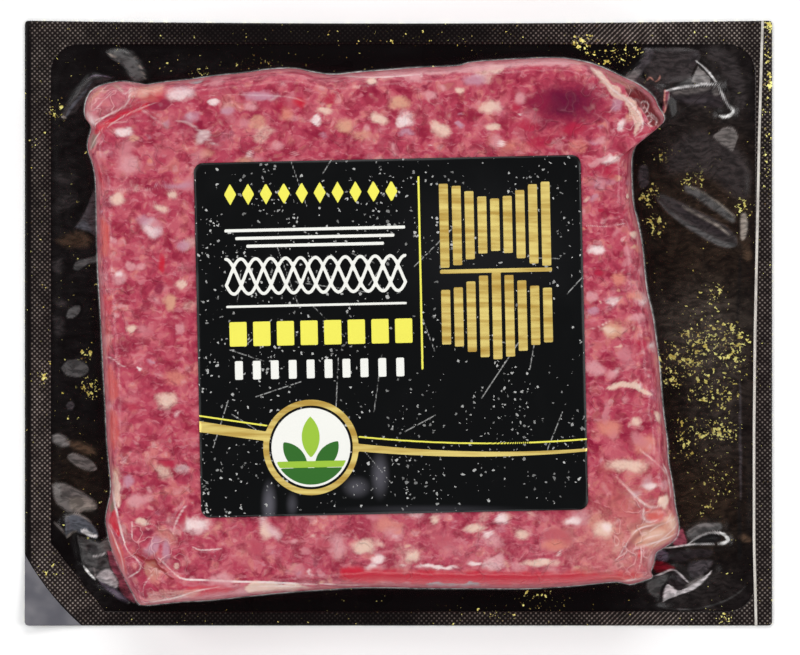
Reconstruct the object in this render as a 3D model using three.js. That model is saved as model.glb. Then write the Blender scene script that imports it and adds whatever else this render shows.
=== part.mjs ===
// A sealed vacuum pack of minced meat, lying on its back, in millimetres with +Z up.
// A flat dark backing web carries a slab of mince. A clear film is drawn down over the slab, lies on
// the backing round it in a skirt with pulled folds, and is welded to it in a band along the edge.
// One corner of the weld is left open as a peel flap, and a label lies on the slab.
// The origin is at the middle of the backing's underside, with +X to the right of the label.
import * as THREE from "three";

// Driving dimensions
const PACK = { width: 210, depth: 170, cornerRadius: 1, edgeSag: 0.8 };
const BACKING_THICK = 0.6;
const FILM_THICK = 0.3;
const GAP = 0.3;
const SLAB = { thick: 22.5, shoulder: 9, roundness: 2.6, crown: 1.2, ringCrowding: 1.5 };
const GRAIN = { cell: 4.2, depth: 0.4, labelMargin: 4 };
const SWELLS = [
  { height: 0.5, perX: 1 / 21, perY: 1 / 36, start: 0.7 },
  { height: 0.35, perX: 1 / 29, perY: 1 / 11, start: 0 },
];
const SLAB_CENTRE = [-4, -1.5];
const GRID_SIDES = [82, 66];
const LABEL = { width: 108, depth: 99, cornerRadius: 2.3, thick: 0.3, centre: [-2.1, -3.7], turn: 1.25 };
const CAVITY = { left: -97.7, right: 100.2, top: 78.4, bottom: -81, cornerRadius: 8 };
const PEEL = { onSide: 20.3, onFoot: 16.3, bow: 1.6, lift: 1.6, edgeSteps: 6 };
const CAVITY_CUT = { onSide: 19.2, onFoot: 15.2 };
const FOLD_FADE = 4;
const RIDGE_ENDS = { crease: 0.6, fold: 0.25 };

// Mesh densities
const SLAB_CELLS = 52;
const SKIRT_ACROSS = 8;
const LABEL_CELLS = 14;
const OUTLINE_STEPS = 720;

// Foot of the slab, clockwise from its upper left corner, seen from above
const SLAB_OUTLINE = [
  [-87.8, 60.4], [-83.1, 67.2], [-76.9, 68.3], [-69.9, 67.2], [-47.4, 69.3], [-34.7, 71.5],
  [-20.7, 69.9], [6, 71.7], [39.8, 74.3], [58, 71.5], [70.1, 63.2], [73.5, 59.3],
  [72.1, 55.1], [67.9, 52], [65.6, 40.2], [69, 12.1], [71.3, 0.3], [74.1, -27.3],
  [77.2, -49.8], [78.8, -57.6], [78, -63], [72.1, -71.1], [56.6, -73.2], [20.1, -74.5],
  [-13.6, -74.2], [-44.6, -77], [-71.3, -79.6], [-78.3, -71.7], [-82.5, -55.9], [-81.4, -43.6],
  [-82.5, -21.6], [-83.9, 6.5], [-85.2, 37.4], [-87.3, 52.8],
];

// Creases of the film that press into the slab or stand on it: ends, bow, height and half width.
// The first is the low tip of the upper right corner.
const CREASES = [
  { from: [76, 61], to: [68, 59], bow: 0, height: -11, width: 7 },
  { from: [-84, 52], to: [-64, 63], bow: -2, height: -1.6, width: 2.2 },
  { from: [-72, 58], to: [-50, 48], bow: 2, height: -1, width: 1.8 },
  { from: [-80, 63], to: [-70, 66], bow: 1, height: 1.2, width: 2.5 },
  { from: [54, 66], to: [66, 50], bow: 1.5, height: -1.4, width: 2.2 },
  { from: [52, 44], to: [66, 50], bow: 1, height: -0.9, width: 1.6 },
  { from: [-80, -41], to: [-72, -66], bow: 1, height: -1.8, width: 2 },
  { from: [-74, -60], to: [-50, -73], bow: 1.5, height: -1.6, width: 2 },
  { from: [-68, -66], to: [-66, -76], bow: 1, height: 0.8, width: 1.8 },
  { from: [50, -40], to: [72, -58], bow: -2, height: -1.2, width: 2.2 },
  { from: [60, -46], to: [76, -52], bow: 1, height: 0.9, width: 1.6 },
  { from: [52, -70], to: [70, -62], bow: -1, height: 1, width: 1.8 },
];

// Folds of the skirt: tents pulled out from the slab's corners, and low pillows along its sides
const FOLDS = [
  { from: [-76, 70], to: [-74, 76.5], bow: 2.5, height: 3.2, width: 2.4 },
  { from: [-86, 66], to: [-94, 57], bow: -1.5, height: 3.6, width: 2.6 },
  { from: [72, 62], to: [78, 74], bow: -2, height: 3.6, width: 3 },
  { from: [74, 61], to: [90, 67], bow: 0.5, height: 5, width: 2.2 },
  { from: [84, 74], to: [94, 59], bow: 2, height: 3.4, width: 2 },
  { from: [72, 38], to: [95, 21], bow: 1.5, height: 2.6, width: 4.2 },
  { from: [80, -62], to: [92, -59.5], bow: 1.5, height: 4.4, width: 2.2 },
  { from: [76, -68], to: [88, -70], bow: -2, height: 4, width: 3 },
  { from: [74, -73], to: [86, -75], bow: -2.5, height: 3, width: 2.2 },
  { from: [-84, -50], to: [-95, -44], bow: 1, height: 2.4, width: 3 },
  { from: [-83, -58], to: [-90, -55], bow: 1.5, height: 3.2, width: 2.4 },
  { from: [-80, -68], to: [-88, -63], bow: -1, height: 3.4, width: 2.8 },
  { from: [-78, -73], to: [-84, -72], bow: 1, height: 2.2, width: 2.4 },
  { from: [-84, 26], to: [-95, 24], bow: 0.5, height: 1.6, width: 4 },
  { from: [-83, -38], to: [-92, -33], bow: 0, height: 1.4, width: 2 },
  { from: [97.5, 30], to: [96.5, -62], bow: 0.5, height: 1, width: 1.6 },
];

/** A sum of tapered ridges at a point: each is highest at its first end and fades towards its second. */
function ridges(list, x, y, endShare) {
  let sum = 0;
  for (const { from, to, bow, height, width } of list) {
    const along = [to[0] - from[0], to[1] - from[1]];
    const length = Math.hypot(...along);
    const share = ((x - from[0]) * along[0] + (y - from[1]) * along[1]) / length ** 2;
    const held = THREE.MathUtils.clamp(share, 0, 1);
    const offset = bow * 4 * held * (1 - held);
    const footX = from[0] + along[0] * held - (along[1] / length) * offset;
    const footY = from[1] + along[1] * held + (along[0] / length) * offset;
    const away = Math.hypot(x - footX, y - footY) / width;
    sum += height * (1 - (1 - endShare) * held) * Math.exp(-Math.pow(away, 1.5));
  }
  return sum;
}

/** A number from 0 to 1 fixed by two whole numbers. */
function dice(i, j) {
  const value = Math.sin(i * 127.1 + j * 311.7) * 43758.5453;
  return value - Math.floor(value);
}

/** Smooth bumps from -1 to 1, one to each square cell of the given size. */
function grains(x, y, cell) {
  const i = Math.floor(x / cell);
  const j = Math.floor(y / cell);
  const u = THREE.MathUtils.smoothstep(x / cell - i, 0, 1);
  const v = THREE.MathUtils.smoothstep(y / cell - j, 0, 1);
  const low = dice(i, j) * (1 - u) + dice(i + 1, j) * u;
  const high = dice(i, j + 1) * (1 - u) + dice(i + 1, j + 1) * u;
  return 2 * (low * (1 - v) + high * v) - 1;
}

/** How far a closed outline reaches from a centre in each direction, as a function of the angle. */
function reachOf(points, [cx, cy]) {
  const polar = points.map(({ x, y }) => [Math.atan2(y - cy, x - cx), Math.hypot(x - cx, y - cy)]);
  polar.sort((a, b) => a[0] - b[0]);
  const turn = 2 * Math.PI;
  const last = polar.length - 1;
  const table = [
    [polar[last][0] - turn, polar[last][1]],
    ...polar,
    [polar[0][0] + turn, polar[0][1]],
  ];
  return (angle) => {
    let low = 0;
    let high = table.length - 1;
    while (high - low > 1) {
      const middle = (low + high) >> 1;
      if (table[middle][0] <= angle) low = middle;
      else high = middle;
    }
    const [a, ra] = table[low];
    const [b, rb] = table[high];
    return ra + ((rb - ra) * (angle - a)) / Math.max(b - a, 1e-9);
  };
}

/** A rectangle with round corners as a Shape. A given cut takes its lower left corner off. */
function roundedRectangle({ left, right, top, bottom, cornerRadius: r }, cut, sag = 0) {
  const shape = new THREE.Shape();
  const middle = (left + right) / 2;
  if (cut) {
    const bow = cut.bow ?? 0;
    shape.moveTo(left, bottom + cut.onSide);
    const halfway = [left + cut.onFoot / 2 - bow, bottom + cut.onSide / 2 - bow];
    shape.quadraticCurveTo(...halfway, left + cut.onFoot, bottom);
  } else {
    shape.moveTo(left, bottom + r);
    shape.absarc(left + r, bottom + r, r, Math.PI, 1.5 * Math.PI);
  }
  shape.absarc(right - r, bottom + r, r, 1.5 * Math.PI, 2 * Math.PI);
  shape.absarc(right - r, top - r, r, 0, 0.5 * Math.PI);
  shape.quadraticCurveTo(middle, top - 2 * sag, left + r, top);
  shape.absarc(left + r, top - r, r, 0.5 * Math.PI, Math.PI);
  shape.closePath();
  return shape;
}

const packEdges = {
  left: -PACK.width / 2,
  right: PACK.width / 2,
  top: PACK.depth / 2,
  bottom: -PACK.depth / 2,
  cornerRadius: PACK.cornerRadius,
};
const slabCurve = new THREE.CatmullRomCurve3(
  SLAB_OUTLINE.map(([x, y]) => new THREE.Vector3(x, y, 0)),
  true,
);
const slabReach = reachOf(slabCurve.getPoints(OUTLINE_STEPS), SLAB_CENTRE);
const cavityShape = roundedRectangle(CAVITY, CAVITY_CUT);
const cavityReach = reachOf(cavityShape.getSpacedPoints(OUTLINE_STEPS), SLAB_CENTRE);

/** Height of the slab's top above the backing, before its shoulder falls to the foot. */
function slabCrown(x, y) {
  const u = x / (PACK.width / 2);
  const v = y / (PACK.depth / 2);
  let height = SLAB.thick - SLAB.crown * (u * u + v * v);
  for (const { height: rise, perX, perY, start } of SWELLS) {
    height += rise * Math.sin(x * perX + y * perY + start);
  }
  return height;
}

/** Share of the full height at a distance in from the slab's foot: a quarter of a superellipse. */
function shoulder(inward) {
  const left = 1 - THREE.MathUtils.clamp(inward / SLAB.shoulder, 0, 1);
  return Math.pow(1 - Math.pow(left, SLAB.roundness), 1 / SLAB.roundness);
}

/** 1 well inside the label's rectangle and 0 outside it, with a soft margin. */
function underLabel(x, y) {
  const turn = THREE.MathUtils.degToRad(LABEL.turn);
  const dx = x - LABEL.centre[0];
  const dy = y - LABEL.centre[1];
  const u = Math.abs(dx * Math.cos(turn) + dy * Math.sin(turn)) - LABEL.width / 2;
  const v = Math.abs(dy * Math.cos(turn) - dx * Math.sin(turn)) - LABEL.depth / 2;
  return 1 - THREE.MathUtils.smoothstep(Math.max(u, v), 0, GRAIN.labelMargin);
}

/** Z of the slab's surface at a point that lies the given distance in from its foot. */
function slabTop(x, y, inward) {
  const grain = GRAIN.depth * grains(x, y, GRAIN.cell) * (1 - underLabel(x, y));
  const height = slabCrown(x, y) + ridges(CREASES, x, y, RIDGE_ENDS.crease) + grain;
  return BACKING_THICK + height * shoulder(inward);
}

/** Z of the film's skirt: flat on the backing but for its folds, which end at the weld. */
function skirtTop(x, y, toWeld) {
  const fade = THREE.MathUtils.smoothstep(toWeld, 0, FOLD_FADE);
  return BACKING_THICK + FILM_THICK + ridges(FOLDS, x, y, RIDGE_ENDS.fold) * fade;
}

/** A mesh from rows of points and triangles that name them. */
function solid(name, points, triangles, look) {
  const geometry = new THREE.BufferGeometry();
  geometry.setAttribute("position", new THREE.Float32BufferAttribute(points.flat(), 3));
  geometry.setIndex(triangles.flat());
  geometry.computeVertexNormals();
  return named(name, geometry, look);
}

function named(name, geometry, look) {
  const mesh = new THREE.Mesh(geometry, new THREE.MeshStandardMaterial(look));
  mesh.name = name;
  return mesh;
}

/** Column, row and direction from the middle of each point of a square grid. */
function gridPoint(k, cells) {
  const u = (2 * (k % (cells + 1))) / cells - 1;
  const v = (2 * Math.floor(k / (cells + 1))) / cells - 1;
  const angle = Math.atan2(v * GRID_SIDES[1], u * GRID_SIDES[0]);
  return { ring: Math.max(Math.abs(u), Math.abs(v)), angle };
}

/** A square grid drawn out to an outline, its rings closing up towards the rim: x, y and way to the rim. */
function ringedGrid(cells, [cx, cy], reach, crowding) {
  const rows = [];
  for (let k = 0; k < (cells + 1) ** 2; k++) {
    const { ring, angle } = gridPoint(k, cells);
    const share = 1 - Math.pow(1 - ring, crowding);
    const far = reach(angle);
    const inward = (1 - share) * far;
    rows.push([cx + share * far * Math.cos(angle), cy + share * far * Math.sin(angle), inward]);
  }
  return rows;
}

/** Two triangles for each cell of a square grid, facing up. */
function gridFaces(cells, offset = 0, facingDown = false) {
  const faces = [];
  const row = cells + 1;
  for (let j = 0; j < cells; j++) {
    for (let i = 0; i < cells; i++) {
      const a = offset + j * row + i;
      const quad = [a, a + 1, a + row + 1, a + row];
      const [p, q, r, s] = facingDown ? quad.reverse() : quad;
      faces.push([p, q, r], [p, r, s]);
    }
  }
  return faces;
}

/** The point numbers along a square grid's rim, anticlockwise. */
function gridRim(cells) {
  const row = cells + 1;
  const rim = [];
  for (let i = 0; i < cells; i++) rim.push(i);
  for (let j = 0; j < cells; j++) rim.push(j * row + cells);
  for (let i = cells; i > 0; i--) rim.push(cells * row + i);
  for (let j = cells; j > 0; j--) rim.push(j * row);
  return rim;
}

/** The slab of mince: a domed top whose rim stands on a flat foot. */
function makeSlab() {
  const plan = ringedGrid(SLAB_CELLS, SLAB_CENTRE, slabReach, SLAB.ringCrowding);
  const points = plan.map(([x, y, inward]) => [x, y, slabTop(x, y, inward)]);
  const faces = gridFaces(SLAB_CELLS);
  const rim = gridRim(SLAB_CELLS);
  const middle = points.length;
  points.push([...SLAB_CENTRE, BACKING_THICK]);
  rim.forEach((a, k) => faces.push([rim[(k + 1) % rim.length], a, middle]));
  return solid("mince_slab", points, faces, { color: 0xb95e69, roughness: 0.45 });
}

/** The film's skirt: a ring from the slab's foot to the weld, thicker where its folds stand up. */
function makeSkirt() {
  const rim = gridRim(SLAB_CELLS);
  const points = [];
  for (const place of rim) {
    const { angle } = gridPoint(place, SLAB_CELLS);
    const inner = slabReach(angle) + GAP;
    const outer = cavityReach(angle) - GAP;
    const at = (far) => [
      SLAB_CENTRE[0] + far * Math.cos(angle),
      SLAB_CENTRE[1] + far * Math.sin(angle),
    ];
    for (let m = 0; m <= SKIRT_ACROSS; m++) {
      const far = inner + ((outer - inner) * m) / SKIRT_ACROSS;
      points.push([...at(far), skirtTop(...at(far), outer - far)]);
    }
    points.push([...at(outer), BACKING_THICK], [...at(inner), BACKING_THICK]);
  }
  const stride = SKIRT_ACROSS + 3;
  const faces = [];
  rim.forEach((_, k) => {
    const here = k * stride;
    const next = ((k + 1) % rim.length) * stride;
    for (let m = 0; m < stride; m++) {
      const n = (m + 1) % stride;
      faces.push([here + m, here + n, next + n], [here + m, next + n, next + m]);
    }
  });
  return solid("film_skirt", points, faces, { color: 0x1d1918, roughness: 0.15 });
}

/** The label: a thin sheet with round corners that follows the slab's top. */
function makeLabel() {
  const edges = {
    left: -LABEL.width / 2,
    right: LABEL.width / 2,
    top: LABEL.depth / 2,
    bottom: -LABEL.depth / 2,
    cornerRadius: LABEL.cornerRadius,
  };
  const outline = roundedRectangle(edges).getSpacedPoints(OUTLINE_STEPS);
  const plan = ringedGrid(LABEL_CELLS, [0, 0], reachOf(outline, [0, 0]), 1);
  const turn = THREE.MathUtils.degToRad(LABEL.turn);
  const placed = plan.map(([u, v]) => [
    LABEL.centre[0] + u * Math.cos(turn) - v * Math.sin(turn),
    LABEL.centre[1] + u * Math.sin(turn) + v * Math.cos(turn),
  ]);
  const under = placed.map(([x, y]) => [x, y, BACKING_THICK + slabCrown(x, y) + GAP]);
  const over = under.map(([x, y, z]) => [x, y, z + LABEL.thick]);
  const faces = [...gridFaces(LABEL_CELLS), ...gridFaces(LABEL_CELLS, over.length, true)];
  const rim = gridRim(LABEL_CELLS);
  rim.forEach((a, k) => {
    const b = rim[(k + 1) % rim.length];
    faces.push([a, a + over.length, b + over.length], [a, b + over.length, b]);
  });
  return solid("label", [...over, ...under], faces, { color: 0x1a1a1c, roughness: 0.35 });
}

/** The backing web: a flat sheet with small round corners and a slightly sagging far edge. */
function makeBacking() {
  const shape = roundedRectangle(packEdges, null, PACK.edgeSag);
  const geometry = new THREE.ExtrudeGeometry(shape, {
    depth: BACKING_THICK,
    bevelEnabled: false,
    curveSegments: 10,
  });
  return named("backing_web", geometry, { color: 0x16130f, roughness: 0.3 });
}

/** The weld: a flat band between the pack's edge and the cavity, cut off at the peel corner. */
function makeWeld() {
  const shape = roundedRectangle(packEdges, PEEL, PACK.edgeSag);
  shape.holes.push(cavityShape);
  const geometry = new THREE.ExtrudeGeometry(shape, {
    depth: FILM_THICK,
    bevelEnabled: false,
    curveSegments: 10,
  });
  geometry.translate(0, 0, BACKING_THICK);
  return named("seal_band", geometry, { color: 0x312929, roughness: 0.35 });
}

/** The peel flap: the loose corner of the film, which rises from the weld towards its tip. */
function makeFlap() {
  const corner = [packEdges.left, packEdges.bottom];
  const alongSide = PEEL.onSide - GAP;
  const alongFoot = PEEL.onFoot - GAP;
  const edge = [];
  for (let k = 0; k <= PEEL.edgeSteps; k++) {
    const t = k / PEEL.edgeSteps;
    const bend = 2 * t * (1 - t);
    edge.push([
      corner[0] + alongFoot * (1 - t) * (1 - t) + bend * (alongFoot / 2 - PEEL.bow),
      corner[1] + alongSide * t * t + bend * (alongSide / 2 - PEEL.bow),
      BACKING_THICK,
    ]);
  }
  const under = [[...corner, BACKING_THICK + PEEL.lift], ...edge];
  const points = [...under, ...under.map(([x, y, z]) => [x, y, z + FILM_THICK])];
  const count = under.length;
  const faces = [];
  for (let k = 1; k < count - 1; k++) {
    faces.push([0, k + 1, k], [count, count + k, count + k + 1]);
  }
  for (let k = 0; k < count; k++) {
    const next = (k + 1) % count;
    faces.push([k, next, count + next], [k, count + next, count + k]);
  }
  return solid("peel_flap", points, faces, { color: 0x6b6a70, roughness: 0.25 });
}

const pack = new THREE.Group();
pack.add(makeBacking(), makeWeld(), makeFlap(), makeSkirt(), makeSlab(), makeLabel());
export default pack;
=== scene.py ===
"""A sealed vacuum pack of minced meat, lying on its back and seen from straight above.

Every piece is a surface worked out on a grid, in millimetres.
The slab of mince, the drawn film, the backing web, its weld, the peel flap and the label each replace
the solid that holds their place.
"""

import math

import bpy
import numpy as np
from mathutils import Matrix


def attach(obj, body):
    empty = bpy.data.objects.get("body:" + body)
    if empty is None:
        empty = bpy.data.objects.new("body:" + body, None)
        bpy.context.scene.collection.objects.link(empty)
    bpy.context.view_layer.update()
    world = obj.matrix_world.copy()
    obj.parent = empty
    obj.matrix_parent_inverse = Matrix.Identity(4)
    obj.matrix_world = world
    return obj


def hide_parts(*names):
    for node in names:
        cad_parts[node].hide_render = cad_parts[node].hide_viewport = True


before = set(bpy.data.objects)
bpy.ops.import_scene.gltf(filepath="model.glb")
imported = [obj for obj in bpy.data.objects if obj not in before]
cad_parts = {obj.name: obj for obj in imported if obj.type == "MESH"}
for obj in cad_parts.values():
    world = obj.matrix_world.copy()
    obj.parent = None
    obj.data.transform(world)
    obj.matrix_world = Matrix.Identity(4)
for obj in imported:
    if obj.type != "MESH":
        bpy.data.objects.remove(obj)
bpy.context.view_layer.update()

# Metres in a millimetre
MM = 0.001

# Sizes in millimetres, as the solids have them
WEB_THICK = 0.6
FILM_THICK = 0.3
PACK = {"left": -105.0, "right": 105.0, "top": 85.0, "bottom": -85.0, "corner": 1.0, "sag": 0.8}
CAVITY = {"left": -97.7, "right": 100.2, "top": 78.4, "bottom": -81.0, "corner": 8.0, "sag": 0.0}
CAVITY_CUT = {"side": 19.2, "foot": 15.2, "bow": 0.0}
PEEL_CUT = {"side": 20.3, "foot": 16.3, "bow": 1.6}
PEEL_LIFT = 1.6
SLAB_THICK = 22.5
SHOULDER = 6.0
ROUNDNESS = 2.6
CROWN = 1.2
LABEL = {"width": 108.0, "depth": 99.0, "corner": 2.6, "at": (-2.1, -3.7), "turn": 1.25, "lift": 0.3}

# Thickness of the loose film and the label, how high the drawn film lies over the web, and how far the
# flap keeps from the pack's edge and the weld, in millimetres
SHEET_THICK = 0.12
FILM_GAP = 0.12
FLAP_INSET = 0.3

# Slow waves of the slab's top: rise in millimetres, radians per millimetre along x and y, start
SWELLS = [(0.5, 1 / 21, 1 / 36, 0.7), (0.35, 1 / 29, 1 / 11, 0.0)]

# The middle from which the outlines are measured, and where a ringed grid's corner points from it
MIDDLE = (-4.0, -1.5)
GRID_SIDES = (82.0, 66.0)

# How finely things are worked out: cells across a ringed grid, points round and across a band, points
# along a side of the flap and an outline, directions from the middle, and cells until a noise repeats
SLAB_CELLS = 310
WEB_CELLS = 280
LABEL_CELLS = 300
FILM_BAND = (1010, 96)
WELD_BAND = (1600, 16)
FLAP_POINTS = 40
OUTLINE_POINTS = 3000
DIRECTIONS = 7200
NOISE_CELLS = 128

# How many bits of fat are scattered through the slab, and how many scratches cross the label
SCATTERED = 1300
SCRATCHES = 26

# The photograph's frame: its size in pixels, the pack's middle in it, and millimetres a pixel
PHOTO_SIZE = (800, 655)
PHOTO_MIDDLE = (398.5, 323.1)
PHOTO_SCALE = 0.2811
CAMERA_HEIGHT = 3000.0
SENSOR = 36.0

# The weld's knurl in millimetres, and how bright the sky is low down and overhead
KNURL_PITCH = 1.43
SKY_LOW = 0.5
SKY_HIGH = 0.03

# Soft lamps: name, place and size in metres, power in watts
LAMPS = [
    ("lamp left", (-1.1, 0.35, 1.15), (0.9, 1.0), 12.2),
    ("lamp right", (1.15, -0.1, 1.1), (0.8, 0.9), 10.5),
    ("lamp back", (0.15, 1.15, 1.0), (1.2, 0.7), 10.4),
    ("lamp front", (-0.2, -1.2, 1.0), (1.0, 0.6), 7),
]

# Creases pressed into the slab or standing on it: photo points, height and half width in millimetres
CREASES = [
    ([(664, 100), (646, 112)], -11.0, 6.5),
    ([(97, 127), (118, 117), (155, 104)], -1.6, 1.6),
    ([(104, 112), (124, 104), (141, 92)], 0.8, 1.2),
    ([(139, 104), (158, 122), (170, 130), (196, 143), (222, 156)], -0.9, 1.5),
    ([(136, 101), (160, 121), (176, 131), (205, 146)], 0.7, 1.0),
    ([(118, 86), (132, 84), (141, 92), (150, 90)], -0.5, 0.9),
    ([(585, 76), (604, 96), (622, 102), (640, 120), (634, 134)], -1.2, 1.8),
    ([(590, 70), (612, 86), (634, 108)], 0.8, 1.2),
    ([(583, 168), (597, 158), (612, 156), (627, 146)], 0.4, 1.2),
    ([(585, 225), (606, 222), (627, 218)], 0.5, 0.9),
    ([(603, 390), (612, 379), (622, 376), (636, 382), (650, 394)], 0.5, 0.9),
    ([(642, 452), (655, 464), (663, 472), (668, 486), (670, 500)], 0.9, 1.1),
    ([(615, 478), (630, 494), (643, 505), (656, 503), (668, 494)], 0.9, 1.0),
    ([(643, 505), (641, 514), (644, 521), (654, 523)], 0.7, 0.8),
    ([(600, 476), (618, 500), (634, 512)], -0.8, 1.8),
    ([(614, 560), (624, 540), (640, 528), (658, 520), (676, 516)], 0.8, 1.1),
    ([(640, 552), (640, 562), (650, 574)], 0.7, 0.9),
    ([(676, 498), (668, 508), (660, 516)], -1.0, 1.3),
    ([(108, 500), (116, 520), (126, 540), (146, 556), (170, 568), (190, 575)], -1.7, 1.5),
    ([(112, 492), (122, 516), (136, 540), (160, 556)], 0.7, 1.2),
    ([(118, 534), (132, 546), (143, 558), (138, 568), (128, 574)], 0.8, 0.9),
    ([(107, 518), (115, 545), (128, 575), (142, 600)], 0.9, 1.0),
    ([(175, 520), (184, 506), (190, 500)], 0.5, 0.8),
    ([(122, 470), (134, 452), (138, 452)], 0.5, 0.8),
    ([(176, 524), (182, 536)], 0.5, 0.8),
    ([(195, 546), (208, 549), (222, 547)], 0.4, 0.8),
]

# Where the fine crinkles of the film on the slab get painted highlights: photo middle and radii in pixels
CRINKLE_GLINT_PATCHES = [
    ((636, 110), (30, 30)),
    ((648, 526), (42, 56)),
    ((140, 560), (46, 40)),
    ((116, 100), (26, 18)),
]

# The slab's outline under its film, as photo points round it
SLAB_EDGE = [
    (147, 85), (166, 82), (186, 80.5), (214, 76), (247, 73), (270, 69), (298, 68.4), (310, 72),
    (332, 75.5), (351, 73), (385, 70.5), (420, 67.5), (461, 66.5), (467, 62.5), (495, 60.5), (522, 59),
    (560, 57.5), (589, 62.5), (608, 70), (624.5, 78), (636, 83), (646.5, 90), (655, 98), (658, 106.5),
    (663, 114), (665, 121), (658, 128), (648, 136), (638, 143), (633, 150), (631, 160), (631, 170),
    (632, 202), (636.5, 218), (641.5, 242), (643.7, 264), (646, 290), (652.5, 315), (655, 334),
    (659, 363), (661, 392), (663.5, 418), (667, 440), (667.5, 460), (670, 472), (673, 489), (675, 508),
    (678, 519), (679, 532), (674, 541), (663, 548), (655, 552), (654, 562), (650, 572), (654, 577),
    (642, 581), (629, 585), (619, 581), (597, 583), (575, 585.5), (530, 588.5), (478, 588), (425, 588),
    (390, 587), (358, 587), (313, 590), (285, 592), (251, 595.5), (211, 600), (178, 601.5), (143, 606),
    (138, 603), (132.5, 592), (125, 578.5), (118, 564), (111.5, 549), (107, 529), (105.5, 519),
    (108, 506), (112, 490), (110, 470), (107, 440), (106, 410), (104, 378), (102, 335), (100, 300),
    (98, 270), (97, 230), (96.5, 180), (93, 163), (88, 151), (88, 140), (91.5, 132), (91.5, 125),
    (86, 120), (84.5, 111), (86, 101), (90, 92), (97, 87), (104, 84.5), (122, 81), (134, 82.5),
]

# Screen colours of meat and fat, and of the film on them: white is also the film's painted highlights,
# grey its painted reflections, and some of the reds serve as painted shade in creases
MINCE_TINTS = {
    "cream": (222, 190, 174),
    "white": (232, 211, 210),
    "rose": (204, 142, 148),
    "blush": (192, 116, 126),
    "lilac": (184, 132, 150),
    "salmon": (206, 126, 112),
    "tan": (206, 152, 128),
    "clay": (150, 92, 84),
    "brick": (196, 76, 70),
    "red": (188, 20, 48),
    "crimson": (168, 30, 62),
    "garnet": (130, 22, 56),
    "maroon": (98, 0, 12),
    "blood": (132, 16, 28),
    "wine": (92, 2, 46),
    "olive": (122, 102, 88),
    "grey": (152, 150, 154),
}

# Screen colours of film that stands off the web: its haze, and the painted reflections and painted
# shade on its panes and folds
FILM_TINTS = {
    "black": (14, 11, 13),
    "dusk": (38, 31, 34),
    "shade": (55, 49, 50),
    "brown": (79, 60, 46),
    "smoke": (71, 65, 69),
    "grey": (84, 83, 83),
    "blue": (86, 89, 97),
    "ash": (103, 97, 95),
    "lilac": (101, 89, 105),
    "pewter": (126, 121, 120),
    "pearl": (148, 138, 129),
    "milk": (204, 198, 200),
    "silver": (221, 218, 218),
    "white": (234, 233, 231),
    "pink": (148, 72, 89),
    "red": (117, 10, 29),
    "flesh": (215, 150, 134),
}

# Tints of the fat scattered through the mince, the commoner ones named more often
SCATTER = ["cream", "white", "rose", "rose", "blush", "blush", "salmon", "lilac", "tan"]
SCATTER += ["crimson", "crimson", "garnet"]

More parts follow.
